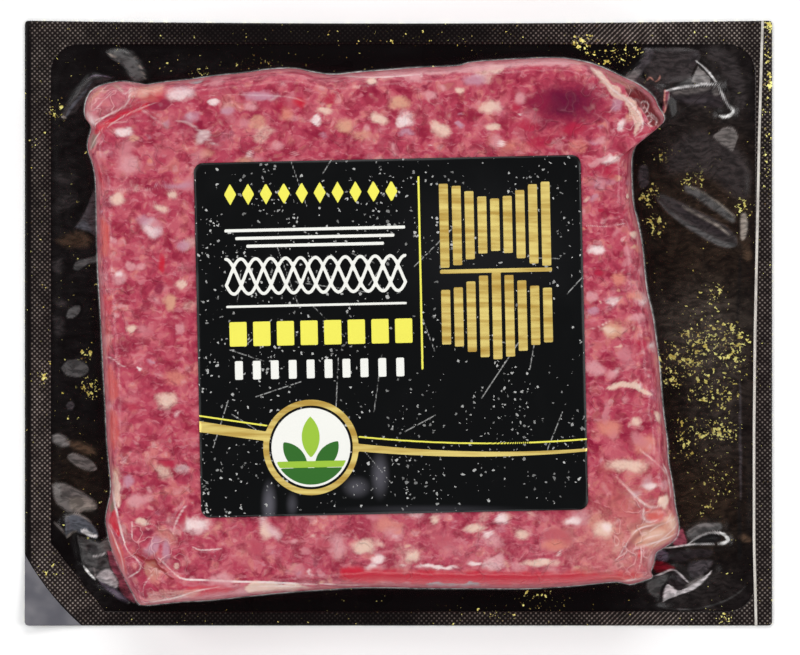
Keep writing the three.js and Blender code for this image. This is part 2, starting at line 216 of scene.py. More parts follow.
# Lumps of fat seen in the mince: photo middle, radii in pixels, tint
LUMPS = [
    (131, 167, 12, 11, "rose"), (152, 162, 5, 4, "salmon"), (119, 199, 7, 6, "cream"),
    (125, 133, 10, 5, "white"), (173, 195, 6, 4, "cream"), (163, 210, 8, 3, "cream"),
    (120, 275, 4, 3, "white"), (143, 268, 6, 4, "rose"), (183, 285, 6, 5, "cream"),
    (172, 302, 7, 10, "tan"), (133, 328, 7, 4, "cream"), (179, 187, 17, 3, "lilac"),
    (185, 247, 8, 5, "lilac"), (158, 225, 8, 4, "blush"), (196, 524, 16, 8, "white"),
    (130, 480, 6, 7, "lilac"), (168, 547, 4, 12, "lilac"), (144, 520, 7, 4, "cream"),
    (138, 500, 10, 8, "rose"), (602, 528, 11, 9, "cream"), (605, 527, 5, 5, "white"),
    (571, 519, 8, 5, "white"), (648, 485, 9, 4, "white"), (626, 464, 24, 7, "cream"),
    (595, 250, 9, 6, "white"), (627, 251, 6, 6, "blush"), (632, 236, 5, 5, "cream"),
    (618, 279, 9, 8, "salmon"), (633, 296, 10, 6, "salmon"), (591, 297, 6, 6, "rose"),
    (590, 311, 7, 4, "lilac"), (634, 317, 9, 5, "rose"), (623, 354, 10, 8, "blush"),
    (605, 411, 4, 12, "blush"), (634, 422, 6, 6, "cream"), (656, 416, 4, 7, "cream"),
    (606, 330, 9, 4, "cream"), (610, 375, 6, 5, "rose"), (640, 342, 8, 9, "crimson"),
    (364, 545, 12, 8, "cream"), (378, 557, 8, 5, "white"), (413, 555, 7, 7, "cream"),
    (474, 562, 7, 3, "white"), (502, 518, 7, 5, "white"), (435, 518, 6, 4, "cream"),
    (474, 527, 10, 4, "cream"), (488, 533, 5, 3, "white"), (521, 533, 8, 5, "cream"),
    (338, 545, 9, 14, "rose"), (266, 531, 5, 9, "cream"), (437, 565, 22, 2.2, "white"),
    (554, 543, 14, 5, "salmon"), (537, 562, 16, 4, "cream"), (489, 108, 11, 8, "cream"),
    (442, 133, 10, 8, "cream"), (458, 92, 6, 5, "cream"), (414, 80, 9, 5, "rose"),
    (492, 129, 10, 4, "cream"), (620, 127, 4, 8, "white"), (615, 106, 6, 6, "lilac"),
    (607, 160, 11, 5, "white"), (596, 75, 5, 3.5, "cream"), (216, 104, 6, 4, "white"),
    (228, 112, 8, 5, "lilac"), (288, 116, 7, 8, "salmon"), (262, 98, 18, 6, "lilac"),
    (252, 108, 8, 5, "rose"), (371, 84, 6, 4, "cream"), (345, 128, 9, 9, "tan"),
    (325, 113, 8, 4, "cream"), (394, 150, 3, 9, "rose"), (406, 134, 8, 4, "lilac"),
    (400, 105, 12, 8, "tan"), (246, 124, 6, 5, "blush"), (430, 98, 6, 6, "rose"),
    (520, 100, 5, 5, "rose"), (570, 104, 40, 24, "garnet"), (564, 104, 26, 15, "wine"),
    (538, 104, 14, 10, "garnet"), (573, 130, 16, 6, "crimson"), (163, 264, 4, 11, "red"),
    (160, 289, 5, 7, "garnet"), (150, 530, 8, 5, "garnet"), (183, 517, 5, 11, "crimson"),
    (150, 97, 6, 4, "garnet"), (300, 104, 8, 6, "red"), (330, 100, 9, 6, "crimson"),
    (606, 176, 12, 8, "crimson"),
]

# Colours seen through the film on the slab, some of them painted shade along creases and painted
# reflections of the film in grey: photo points, tint, cover and softness in millimetres
SLAB_AREAS = [
    # Painted shade along the crease at the top left, a soft crimson band
    ([(92, 137), (103, 120), (124, 108), (150, 98), (170, 96), (172, 107), (150, 112), (126, 122),
        (108, 134), (100, 143)], "crimson", 0.7, 1.2),
    # Painted shade below the crest that runs down to the right
    ([(168, 116), (190, 121), (206, 132), (226, 150), (214, 153), (196, 141), (178, 131)],
        "garnet", 0.45, 1.2),
    ([(98, 86), (108, 88), (100, 100), (92, 116), (87, 112), (88, 98)], "salmon", 0.5, 1.0),
    ([(596, 476), (612, 482), (634, 504), (640, 520), (626, 522), (606, 500)], "crimson", 0.35, 1.6),
    ([(328, 76), (351, 73), (385, 70), (420, 67), (461, 66), (495, 60), (521, 58), (555, 57),
        (590, 62), (600, 68), (560, 67), (520, 68), (480, 73), (440, 76), (400, 78), (362, 80)],
        "rose", 0.7, 0.5),
    # Painted reflection of the film, in grey
    ([(188, 82), (196, 79), (205, 78), (205, 82), (201, 86), (193, 86)], "grey", 0.9, 0.2),
    ([(86, 101), (97, 88), (122, 83), (134, 86), (137, 96), (128, 108), (112, 116), (96, 123),
        (87, 116)], "blush", 0.45, 0.9),
    ([(140, 84), (160, 84), (168, 96), (150, 104), (138, 100)], "brick", 0.5, 1.0),
    # Painted shade: the thin red line deep in the same crease
    ([(95, 131), (106, 124), (122, 115), (140, 108), (150, 104), (152, 108), (136, 113), (118, 121),
        (105, 130), (100, 138)], "red", 0.85, 0.35),
    ([(91, 132), (99, 136), (97, 145), (93, 151), (88, 150), (88, 141)], "olive", 0.85, 0.3),
    ([(98, 166), (101, 166), (107, 188), (106, 194), (101, 190)], "red", 0.7, 1.0),
    ([(101, 218), (106, 219), (112, 234), (111, 256), (105, 258), (102, 240)], "brick", 0.75, 1.0),
    ([(105, 293), (110, 292), (117, 306), (113, 321), (106, 316)], "red", 0.6, 1.0),
    ([(104, 318), (112, 320), (116, 340), (110, 356), (104, 350)], "brick", 0.5, 1.0),
    ([(107, 366), (114, 364), (121, 380), (121, 400), (112, 402), (107, 386)], "brick", 0.65, 1.0),
    ([(109, 408), (118, 408), (122, 430), (118, 452), (109, 448)], "brick", 0.65, 1.0),
    ([(107, 402), (114, 401), (113, 410), (107, 412)], "rose", 0.8, 0.4),
    ([(111, 470), (120, 472), (124, 500), (119, 508), (113, 490)], "cream", 0.7, 0.5),
    ([(111, 497), (114, 494), (117, 504), (113, 512), (108, 508)], "olive", 0.85, 0.3),
    ([(114, 508), (118, 510), (124, 534), (121, 537), (115, 523), (108, 521), (112, 514)],
        "red", 0.9, 0.25),
    ([(108, 529), (114, 530), (128, 556), (128, 576), (122, 570), (112, 548)], "brick", 0.6, 0.4),
    ([(136, 550), (147, 556), (160, 561), (168, 570), (178, 577), (174, 579), (160, 568), (146, 560),
        (136, 554)], "blood", 0.85, 0.25),
    ([(184, 581), (250, 584), (330, 588), (330, 590), (250, 594), (200, 599), (146, 604), (176, 598),
        (200, 590)], "blush", 0.6, 0.5),
    ([(190, 584), (240, 586), (235, 591), (205, 594), (180, 597)], "red", 0.6, 0.6),
    ([(250, 579), (285, 581), (316, 585), (303, 591), (250, 595), (246, 587)], "cream", 0.85, 0.3),
    ([(340, 566), (383, 568), (440, 569), (520, 571), (600, 570), (640, 571), (640, 578), (600, 580),
        (560, 584), (480, 585), (400, 584), (340, 582)], "red", 0.85, 1.1),
    ([(383, 582), (425, 582), (425, 587), (383, 586)], "rose", 0.6, 0.4),
    # Painted reflection of the film, in grey, at the bottom edge
    ([(427, 583), (440, 581), (460, 583), (470, 580), (479, 581), (479, 588), (430, 588)],
        "grey", 0.85, 0.2),
    ([(630, 530), (642, 524), (660, 518), (670, 512), (677, 518), (678, 532), (671, 542), (654, 549),
        (642, 546), (628, 542)], "tan", 0.6, 0.7),
    ([(640, 532), (652, 528), (664, 528), (660, 536), (646, 540)], "cream", 0.5, 0.8),
    ([(664, 514), (674, 516), (676, 528), (668, 526)], "cream", 0.5, 0.6),
    ([(652, 520), (664, 517), (660, 524), (648, 527)], "clay", 0.5, 0.5),
    # Painted shade along the fold at the bottom right
    ([(618, 552), (628, 538), (640, 528), (652, 522), (642, 532), (630, 542), (622, 556)],
        "garnet", 0.5, 0.5),
    ([(656, 495), (664, 492), (668, 500), (666, 508), (657, 507)], "cream", 0.85, 0.5),
    ([(641, 508), (652, 508), (664, 510), (660, 517), (648, 519), (642, 515)], "brick", 0.6, 0.4),
    ([(636, 547), (641, 547), (640, 556), (636, 555)], "red", 0.8, 0.3),
    ([(648, 553), (653, 553), (652, 570), (655, 576), (647, 574), (645, 563)], "rose", 0.7, 0.4),
    ([(600, 574), (640, 574), (646, 578), (620, 580), (600, 582)], "brick", 0.6, 0.5),
    ([(624, 88), (636, 85), (647, 92), (655, 99), (658, 108), (663, 115), (664, 122), (661, 126),
        (654, 128), (648, 124), (643, 116), (640, 110), (633, 104), (626, 96)], "maroon", 0.92, 0.25),
    ([(600, 68), (611, 72), (626, 80), (636, 84), (634, 90), (624, 88), (614, 84), (604, 76)],
        "clay", 0.8, 0.4),
    ([(584, 67), (591, 67), (600, 78), (611, 88), (608, 92), (598, 84), (588, 74)], "garnet", 0.7, 0.4),
    ([(588, 66), (600, 74), (613, 88), (626, 97), (637, 108), (642, 122), (638, 132), (632, 137),
        (634, 124), (628, 110), (612, 98), (598, 84)], "cream", 0.7, 0.4),
    ([(634, 138), (641, 127), (650, 126), (655, 130), (652, 136), (643, 138)], "crimson", 0.7, 0.3),
    ([(583, 170), (597, 165), (608, 167), (622, 155), (632, 144), (633, 149), (622, 161), (608, 171),
        (596, 169), (584, 174)], "crimson", 0.6, 0.35),
    ([(603, 390), (612, 384), (621, 380), (634, 382), (652, 393), (650, 396), (634, 389), (622, 386),
        (611, 390)], "cream", 0.85, 0.3),
    ([(586, 166), (597, 158), (610, 154), (612, 157), (600, 163), (588, 170)], "rose", 0.75, 0.3),
    # Painted shade in small creases at the top left
    ([(104, 92), (110, 86), (116, 84), (124, 89), (126, 93), (122, 92), (115, 87), (110, 88),
        (105, 94)], "clay", 0.8, 0.15),
    ([(131, 83), (140, 84), (148, 88), (150, 91), (146, 90), (139, 86), (131, 86)], "clay", 0.8, 0.15),
    ([(88, 103), (91, 95), (99, 89), (106, 86), (104, 91), (98, 97), (91, 107)], "tan", 0.45, 0.4),
    ([(134, 88), (144, 89), (152, 93), (148, 99), (138, 99), (131, 94)], "cream", 0.35, 0.6),
    ([(148, 105), (158, 102), (168, 100), (175, 105), (168, 111), (156, 112), (148, 109)],
        "garnet", 0.75, 0.3),
    ([(150, 588), (175, 589), (205, 587), (192, 596), (162, 601), (147, 600)], "cream", 0.35, 0.6),
    ([(147, 560), (156, 562), (164, 572), (160, 580), (148, 578), (144, 570)], "tan", 0.4, 0.7),
]

# Wide soft casts of colour on the slab: photo middle and radii in pixels, tint, cover
SLAB_MISTS = [
    ((440, 545), (250, 34), "rose", 0.22),
    ((630, 525), (62, 62), "tan", 0.3),
    ((130, 300), (40, 200), "rose", 0.08),
    ((566, 106), (30, 20), "wine", 0.3),
]

# Painted highlights of the film stretched over the slab, white lines along its folds and edges:
# photo points, half width in pixels, cover
SLAB_HIGHLIGHTS = [
    ([(648, 530), (656, 524), (668, 520), (675, 516)], 0.7, 0.7),
    ([(652, 545), (662, 536), (672, 528), (677, 520)], 0.7, 0.7),
    ([(636, 541), (648, 535), (660, 533)], 0.6, 0.6),
    ([(670, 512), (664, 521), (668, 530)], 0.6, 0.6),
    ([(110, 128), (124, 118), (142, 110), (158, 104)], 0.6, 0.6),
    ([(96, 112), (108, 100), (116, 92)], 0.6, 0.5),
    ([(110, 472), (112, 484), (115, 495), (118, 507), (121, 519), (124, 534), (127, 542)], 1.3, 0.9),
    ([(106, 522), (113, 528), (117, 540), (124, 556), (126, 576)], 0.8, 0.7),
    ([(118, 563), (126, 578), (133, 592), (143, 605)], 1.1, 0.95),
    ([(126, 542), (131, 552), (141, 559), (143, 566), (139, 571), (127, 577)], 1.0, 0.9),
    ([(155, 572), (146, 582), (144, 592), (147, 598)], 0.7, 0.6),
    ([(138, 603), (162, 599), (178, 596), (197, 589), (220, 585)], 0.8, 0.7),
    ([(143, 605), (180, 601), (212, 599), (251, 594)], 0.8, 0.6),
    ([(160, 556), (176, 572), (184, 578), (206, 578), (238, 580), (262, 580), (318, 583)], 1.2, 0.95),
    ([(250, 589), (282, 591), (303, 590), (318, 586)], 0.8, 0.8),
    ([(252, 585), (280, 584), (306, 586)], 0.8, 0.7),
    ([(320, 582), (345, 584), (369, 584)], 1.0, 0.8),
    ([(194, 545), (201, 549), (224, 547)], 0.8, 0.8),
    ([(175, 532), (176, 524), (184, 508), (191, 501)], 0.9, 0.7),
    ([(134, 520), (134, 536)], 1.0, 0.7),
    ([(144, 522), (156, 523), (160, 526)], 0.7, 0.6),
    ([(430, 588), (460, 588), (479, 586)], 0.9, 0.8),
    ([(480, 588), (530, 588), (575, 585), (600, 582)], 0.6, 0.9),
    ([(440, 585), (470, 582)], 0.6, 0.5),
    ([(596, 582), (619, 580), (640, 577), (655, 576)], 0.8, 0.9),
    ([(615, 475), (626, 488), (642, 503), (651, 507), (663, 503)], 1.0, 0.95),
    ([(642, 507), (641, 516), (646, 521), (656, 519)], 1.0, 0.9),
    ([(644, 511), (660, 510)], 0.6, 0.6),
    ([(617, 555), (626, 540), (632, 530), (642, 525), (655, 523)], 0.8, 0.7),
    ([(614, 558), (619, 554), (630, 548), (643, 544), (663, 538), (676, 532)], 0.8, 0.8),
    ([(616, 560), (634, 552), (648, 549)], 0.7, 0.6),
    ([(639, 545), (640, 556), (637, 568)], 0.7, 0.7),
    ([(655, 551), (649, 557), (649, 563), (654, 572)], 1.0, 0.85),
    ([(661, 463), (666, 472), (669, 486), (669, 496)], 1.2, 0.9),
    ([(670, 496), (676, 503), (674, 514), (679, 522), (677, 534)], 0.7, 0.8),
    ([(638, 449), (658, 464), (667, 477)], 0.8, 0.85),
    ([(585, 226), (604, 228), (624, 224)], 0.7, 0.7),
    ([(570, 333), (592, 329), (608, 321)], 0.8, 0.6),
    ([(590, 68), (600, 78), (608, 89), (619, 97), (629, 104), (639, 116), (642, 126), (639, 133),
        (633, 138)], 0.9, 0.8),
    ([(608, 70), (624, 78), (637, 83), (647, 90), (655, 98), (658, 106), (663, 114)], 0.7, 0.85),
    ([(640, 104), (644, 102), (648, 105), (646, 111), (643, 115)], 0.6, 0.8),
    ([(648, 114), (653, 117), (656, 122), (654, 126)], 0.7, 0.85),
    ([(645, 118), (650, 116), (650, 122), (646, 125), (650, 128)], 0.6, 0.8),
    ([(634, 140), (643, 136), (653, 135)], 0.8, 0.7),
    ([(104, 91), (111, 85), (120, 88), (127, 97), (131, 92)], 0.6, 0.7),
    ([(132, 90), (131, 104), (122, 111), (108, 118), (97, 122)], 0.8, 0.8),
    ([(134, 107), (117, 112), (104, 120), (92, 130), (89, 140), (92, 150)], 0.7, 0.8),
    ([(105, 130), (97, 140), (92, 151)], 0.6, 0.7),
    ([(86, 101), (96, 89), (110, 84), (124, 82), (147, 86)], 0.9, 0.8),
    ([(106, 125), (130, 123), (156, 122), (168, 128)], 0.6, 0.5),
    ([(142, 109), (150, 117), (161, 122), (170, 131)], 0.7, 0.7),
    ([(177, 122), (191, 124), (203, 134), (214, 145), (225, 150)], 0.8, 0.8),
    ([(204, 98), (230, 96), (262, 97), (290, 98), (308, 104)], 0.6, 0.5),
    ([(332, 76), (362, 79), (386, 79), (420, 76)], 0.6, 0.8),
    ([(328, 74), (351, 72), (385, 70), (420, 67), (461, 66)], 0.6, 0.7),
    ([(104, 358), (113, 357), (121, 364), (130, 368)], 0.9, 0.8),
    ([(100, 289), (112, 290), (124, 288)], 0.6, 0.5),
    ([(96, 166), (98, 200), (98, 250), (101, 310), (104, 360), (107, 420), (109, 470)], 0.8, 0.9),
    ([(106, 190), (128, 191), (150, 190), (170, 188)], 0.6, 0.5),
]

# Crests of the drawn film's folds: photo points, height at both ends and half width in millimetres
TENTS = [
    ([(109, 54), (124, 58), (136, 68), (142, 82)], 0.8, 2.4, 2.6),
    ([(66, 117), (74, 104), (84, 92), (94, 82)], 0.5, 2.4, 2.4),
    ([(627, 81), (641, 70), (650, 50)], 2.4, 0.8, 2.6),
    ([(665, 112), (664, 96), (667, 90), (689, 86), (716, 84)], 3.4, 3.0, 2.4),
    ([(696, 61), (707, 70), (716, 82), (725, 102), (733, 111), (721, 116)], 1.4, 2.6, 2.0),
    ([(684, 187), (705, 199), (734, 222)], 1.2, 0.8, 2.2),
    ([(660, 200), (690, 226), (720, 243), (736, 246)], 1.0, 0.8, 2.0),
    ([(688, 544), (700, 535), (715, 532), (728, 539), (718, 545)], 3.2, 1.6, 2.0),
    ([(686, 534), (706, 525), (721, 525)], 2.4, 1.4, 2.2),
    ([(655, 576), (671, 569), (679, 572), (688, 582)], 3.0, 2.0, 2.0),
    ([(664, 599), (676, 594), (696, 586), (713, 569)], 2.4, 1.6, 2.2),
    ([(664, 549), (690, 545), (714, 544)], 2.6, 0.8, 2.2),
    ([(54, 488), (72, 498), (97, 507)], 0.6, 1.8, 2.6),
    ([(98, 534), (86, 522), (74, 515), (66, 524)], 2.4, 1.0, 2.4),
    ([(106, 550), (94, 556), (84, 560), (79, 538)], 2.4, 1.2, 2.2),
    ([(118, 588), (106, 582), (96, 578), (84, 566)], 2.4, 1.4, 2.2),
]

# Film that stands off the web, its panes painted with grey, white and dark reflections and with
# painted shade, a few with the red of meat under them: photo points, tint, cover, softness and lift in
# millimetres
FILM_PANE_REFLECTIONS = [
    ([(668, 172), (666, 152), (690, 130), (712, 134), (742, 152), (752, 178), (742, 204), (716, 178),
        (690, 172)], "shade", 0.7, 2.0, 0.3),
    ([(702, 50), (716, 62), (731, 84), (738, 108), (746, 108), (744, 78), (732, 56), (716, 46)],
        "shade", 0.6, 1.2, 0.2),
    ([(654, 48), (698, 48), (701, 57), (696, 62), (692, 73), (689, 80), (663, 84), (648, 82),
        (642, 71), (651, 61)], "shade", 0.85, 0.3, 0.5),
    ([(626, 78), (640, 76), (648, 82), (665, 83), (664, 92), (662, 107), (650, 92), (636, 84)],
        "shade", 0.8, 0.5, 0.4),
    ([(646, 48), (654, 48), (652, 60), (645, 68), (638, 79), (632, 82), (626, 77), (636, 68),
        (642, 60)], "smoke", 0.85, 0.3, 0.3),
    ([(624, 77), (632, 71), (640, 68), (641, 72), (634, 80), (630, 83)], "pewter", 0.7, 0.4, 0.0),
    ([(692, 50), (700, 50), (699, 60), (692, 68), (689, 60)], "dusk", 0.8, 0.5, 0.0),
    ([(676, 86), (690, 77), (694, 80), (692, 85)], "grey", 0.6, 0.5, 0.0),
    ([(698, 66), (715, 83), (690, 84), (694, 74)], "pewter", 0.9, 0.2, 0.3),
    ([(668, 91), (700, 88), (715, 85), (718, 91), (724, 104), (722, 109), (706, 107), (674, 102)],
        "dusk", 0.95, 0.25, 0.2),
    ([(671, 91), (700, 88), (713, 87), (708, 91), (690, 94), (673, 95)], "ash", 0.7, 0.5, 0.0),
    ([(712, 90), (717, 88), (720, 95), (713, 96)], "ash", 0.8, 0.2, 0.0),
    ([(676, 98), (700, 99), (716, 98), (712, 103), (690, 103)], "smoke", 0.5, 0.5, 0.0),
    ([(664, 90), (670, 92), (669, 98), (667, 106), (665, 114), (662, 112), (663, 102)],
        "pink", 0.75, 0.25, 0.0),
    ([(713, 136), (721, 129), (729, 126), (735, 128), (738, 137), (735, 145), (733, 152), (726, 148),
        (718, 142)], "ash", 0.9, 0.15, 0.2),
    ([(655, 196), (663, 194), (677, 200), (692, 208), (721, 222), (736, 235), (738, 243), (735, 248),
        (721, 247), (699, 236), (677, 221), (661, 206)], "shade", 0.85, 0.3, 0.5),
    ([(656, 198), (664, 206), (680, 218), (700, 231), (722, 242), (736, 243), (735, 248), (721, 247),
        (699, 236), (677, 221), (661, 206)], "grey", 0.9, 0.35, 0.0),
    ([(672, 202), (690, 212), (716, 226), (730, 236), (722, 238), (700, 228), (680, 214)],
        "dusk", 0.8, 0.6, 0.0),
    ([(685, 185), (699, 190), (718, 203), (736, 219), (733, 224), (716, 212), (697, 198), (684, 191)],
        "grey", 0.8, 0.5, 0.4),
    ([(741, 213), (746, 212), (748, 226), (745, 239), (741, 241), (740, 226)], "pearl", 0.85, 0.4, 0.3),
    ([(742, 242), (750, 240), (752, 262), (745, 262)], "brown", 0.6, 0.8, 0.0),
    ([(685, 532), (692, 527), (704, 523), (720, 522), (723, 526), (721, 531), (707, 531), (697, 536),
        (689, 542)], "grey", 0.9, 0.3, 0.4),
    ([(686, 531), (692, 527), (704, 523), (720, 523), (719, 526), (705, 527), (694, 531), (688, 537)],
        "pewter", 0.6, 0.3, 0.0),
    ([(677, 533), (682, 527), (684, 533), (688, 544), (680, 547), (671, 545)], "pink", 0.9, 0.25, 0.2),
    ([(694, 540), (705, 534), (716, 533), (722, 537), (720, 542), (706, 544), (694, 544)],
        "black", 0.95, 0.2, 0.0),
    ([(668, 550), (714, 548), (711, 557), (692, 557), (682, 563), (668, 560)], "dusk", 0.85, 0.4, 0.3),
    ([(656, 551), (666, 549), (669, 560), (663, 562), (655, 559)], "lilac", 0.8, 0.4, 0.0),
    ([(652, 560), (663, 561), (672, 565), (676, 569), (663, 573), (653, 572)], "red", 0.92, 0.3, 0.2),
    ([(689, 563), (713, 558), (711, 566), (701, 576), (692, 579), (688, 572)], "smoke", 0.85, 0.5, 0.2),
    ([(677, 571), (684, 577), (688, 582), (681, 590), (676, 592), (671, 586), (667, 582), (670, 575)],
        "dusk", 0.92, 0.3, 0.3),
    ([(676, 576), (680, 574), (683, 580), (678, 582)], "smoke", 0.7, 0.2, 0.0),
    ([(646, 583), (655, 577), (669, 573), (669, 576), (665, 583), (660, 596), (654, 597), (648, 591)],
        "grey", 0.85, 0.5, 0.3),
    ([(662, 585), (667, 581), (665, 590), (663, 599), (659, 596), (660, 590)],
        "black", 0.95, 0.25, 0.0),
    ([(663, 602), (669, 598), (682, 594), (697, 588), (707, 578), (714, 568), (704, 577), (692, 584),
        (682, 590), (676, 591), (671, 586), (667, 583), (664, 590), (663, 597)],
        "milk", 0.97, 0.15, 0.2),
    ([(684, 587), (700, 575), (706, 576), (694, 585)], "pewter", 0.6, 0.4, 0.0),
    ([(738, 536), (744, 533), (752, 538), (750, 543), (740, 541)], "brown", 0.8, 0.5, 0.0),
    ([(737, 500), (741, 500), (742, 560), (737, 560)], "black", 0.7, 0.5, 0.0),
    ([(739, 380), (741, 380), (742, 500), (739, 500)], "smoke", 0.6, 0.3, 0.0),
    ([(739, 255), (743, 258), (738, 345), (734, 345)], "black", 0.6, 0.6, 0.0),
    ([(52, 485), (64, 482), (68, 485), (78, 490), (92, 498), (98, 505), (96, 509), (87, 510),
        (77, 513), (69, 513), (65, 510), (55, 501)], "ash", 0.88, 0.5, 0.5),
    ([(70, 498), (80, 497), (92, 500), (98, 505), (94, 510), (80, 512), (70, 509)],
        "pearl", 0.7, 0.5, 0.0),
    ([(66, 516), (74, 513), (83, 515), (89, 520), (95, 528), (99, 535), (97, 538), (93, 538),
        (87, 534), (81, 533), (75, 531), (71, 533), (68, 537), (66, 537), (65, 529)],
        "blue", 0.92, 0.3, 0.5),
    ([(66, 518), (70, 516), (70, 530), (67, 534)], "smoke", 0.7, 0.4, 0.0),
    ([(81, 530), (86, 529), (89, 532), (98, 535), (97, 538), (88, 536), (81, 532)],
        "silver", 0.97, 0.2, 0.0),
    ([(80, 537), (89, 539), (100, 543), (106, 539), (110, 537), (111, 546), (109, 552), (103, 554),
        (96, 557), (94, 564), (89, 567), (84, 564), (82, 552)], "grey", 0.9, 0.4, 0.4),
    ([(100, 543), (106, 538), (110, 537), (111, 547), (108, 551), (102, 550)], "ash", 0.7, 0.4, 0.0),
    ([(87, 545), (92, 543), (98, 547), (99, 551), (93, 553), (88, 550)], "dusk", 0.85, 0.4, 0.0),
    ([(93, 557), (105, 553), (108, 560), (112, 570), (104, 572), (97, 576), (90, 572), (86, 567),
        (94, 564)], "grey", 0.85, 0.4, 0.3),
    ([(98, 558), (104, 557), (106, 564), (101, 568), (97, 563)], "shade", 0.8, 0.4, 0.0),
    ([(107, 551), (113, 551), (118, 564), (124, 577), (128, 588), (122, 587), (115, 575), (110, 566)],
        "pink", 0.88, 0.3, 0.3),
    ([(118, 583), (125, 580), (132, 592), (138, 602), (130, 601), (122, 593)], "pink", 0.75, 0.4, 0.2),
    ([(100, 581), (112, 588), (118, 590), (124, 596), (130, 601), (124, 602), (114, 595), (104, 587)],
        "lilac", 0.8, 0.6, 0.0),
    ([(96, 577), (103, 571), (109, 569), (115, 575), (118, 581), (118, 588), (112, 586), (106, 583),
        (100, 580)], "milk", 0.92, 0.5, 0.2),
    ([(108, 52), (115, 49), (124, 49), (134, 55), (143, 67), (146, 80), (138, 82), (131, 80),
        (128, 71), (120, 62), (111, 58)], "grey", 0.88, 0.5, 0.3),
    ([(64, 120), (62, 115), (69, 101), (79, 92), (87, 80), (94, 75), (108, 76), (115, 79), (99, 83),
        (89, 90), (85, 99), (76, 111), (67, 118)], "shade", 0.8, 0.6, 0.3),
    ([(94, 190), (99, 190), (99, 240), (92, 234), (86, 230), (76, 227), (77, 224), (84, 215)],
        "smoke", 0.88, 0.3, 0.3),
    ([(76, 227), (84, 219), (90, 226), (92, 233)], "blue", 0.6, 0.5, 0.0),
    ([(99, 253), (94, 257), (84, 259), (75, 262), (73, 267), (75, 271), (81, 269), (86, 264),
        (99, 262)], "grey", 0.88, 0.25, 0.3),
    ([(66, 316), (68, 310), (74, 306), (80, 305), (81, 310), (77, 316), (70, 319)],
        "grey", 0.88, 0.2, 0.3),
    ([(61, 368), (66, 361), (74, 359), (84, 361), (90, 368), (87, 374), (78, 377), (66, 376)],
        "grey", 0.85, 0.2, 0.3),
    ([(66, 406), (68, 402), (73, 402), (75, 406), (73, 410), (68, 410)], "smoke", 0.8, 0.2, 0.2),
    ([(53, 436), (58, 434), (66, 437), (71, 442), (68, 447), (58, 445), (53, 441)],
        "pewter", 0.85, 0.6, 0.3),
    ([(66, 440), (80, 442), (94, 449), (98, 455), (88, 455), (74, 449)], "brown", 0.8, 0.8, 0.2),
    ([(67, 457), (70, 453), (78, 454), (88, 458), (96, 465), (98, 469), (94, 472), (84, 470),
        (72, 464)], "ash", 0.92, 0.2, 0.4),
    ([(56, 241), (70, 233), (86, 232), (93, 240), (88, 247), (66, 247)], "brown", 0.6, 1.2, 0.0),
    ([(56, 214), (66, 208), (78, 206), (76, 194), (58, 194)], "shade", 0.6, 1.5, 0.0),
    ([(54, 300), (62, 298), (68, 304), (60, 308)], "shade", 0.6, 1.0, 0.0),
    ([(54, 318), (64, 318), (66, 334), (56, 336)], "shade", 0.6, 1.0, 0.0),
    ([(52, 262), (62, 258), (64, 270), (56, 274)], "shade", 0.6, 1.0, 0.0),
    ([(56, 174), (66, 170), (76, 172), (76, 182), (62, 184), (55, 180)], "shade", 0.6, 1.0, 0.0),
    ([(640, 166), (648, 164), (649, 186), (641, 190), (637, 178)], "smoke", 0.7, 0.5, 0.0),
]

# Haze of the film where it lies loose over the web: photo middle, radii in pixels, tint, cover
MISTS = [
    ((702, 330), (54, 215), "brown", 0.16),
    ((700, 330), (44, 40), "pearl", 0.1),
    ((716, 400), (26, 60), "ash", 0.1),
    ((690, 200), (60, 60), "brown", 0.14),
    ((720, 90), (30, 50), "shade", 0.22),
    ((674, 130), (24, 40), "shade", 0.25),
    ((700, 500), (40, 40), "brown", 0.2),
    ((690, 590), (50, 26), "shade", 0.3),
    ((76, 240), (26, 80), "shade", 0.14),
    ((76, 380), (26, 60), "shade", 0.1),
    ((66, 130), (22, 60), "shade", 0.12),
    ((78, 480), (26, 40), "brown", 0.14),
    ((80, 590), (30, 20), "shade", 0.15),
    ((180, 66), (60, 10), "shade", 0.1),
]
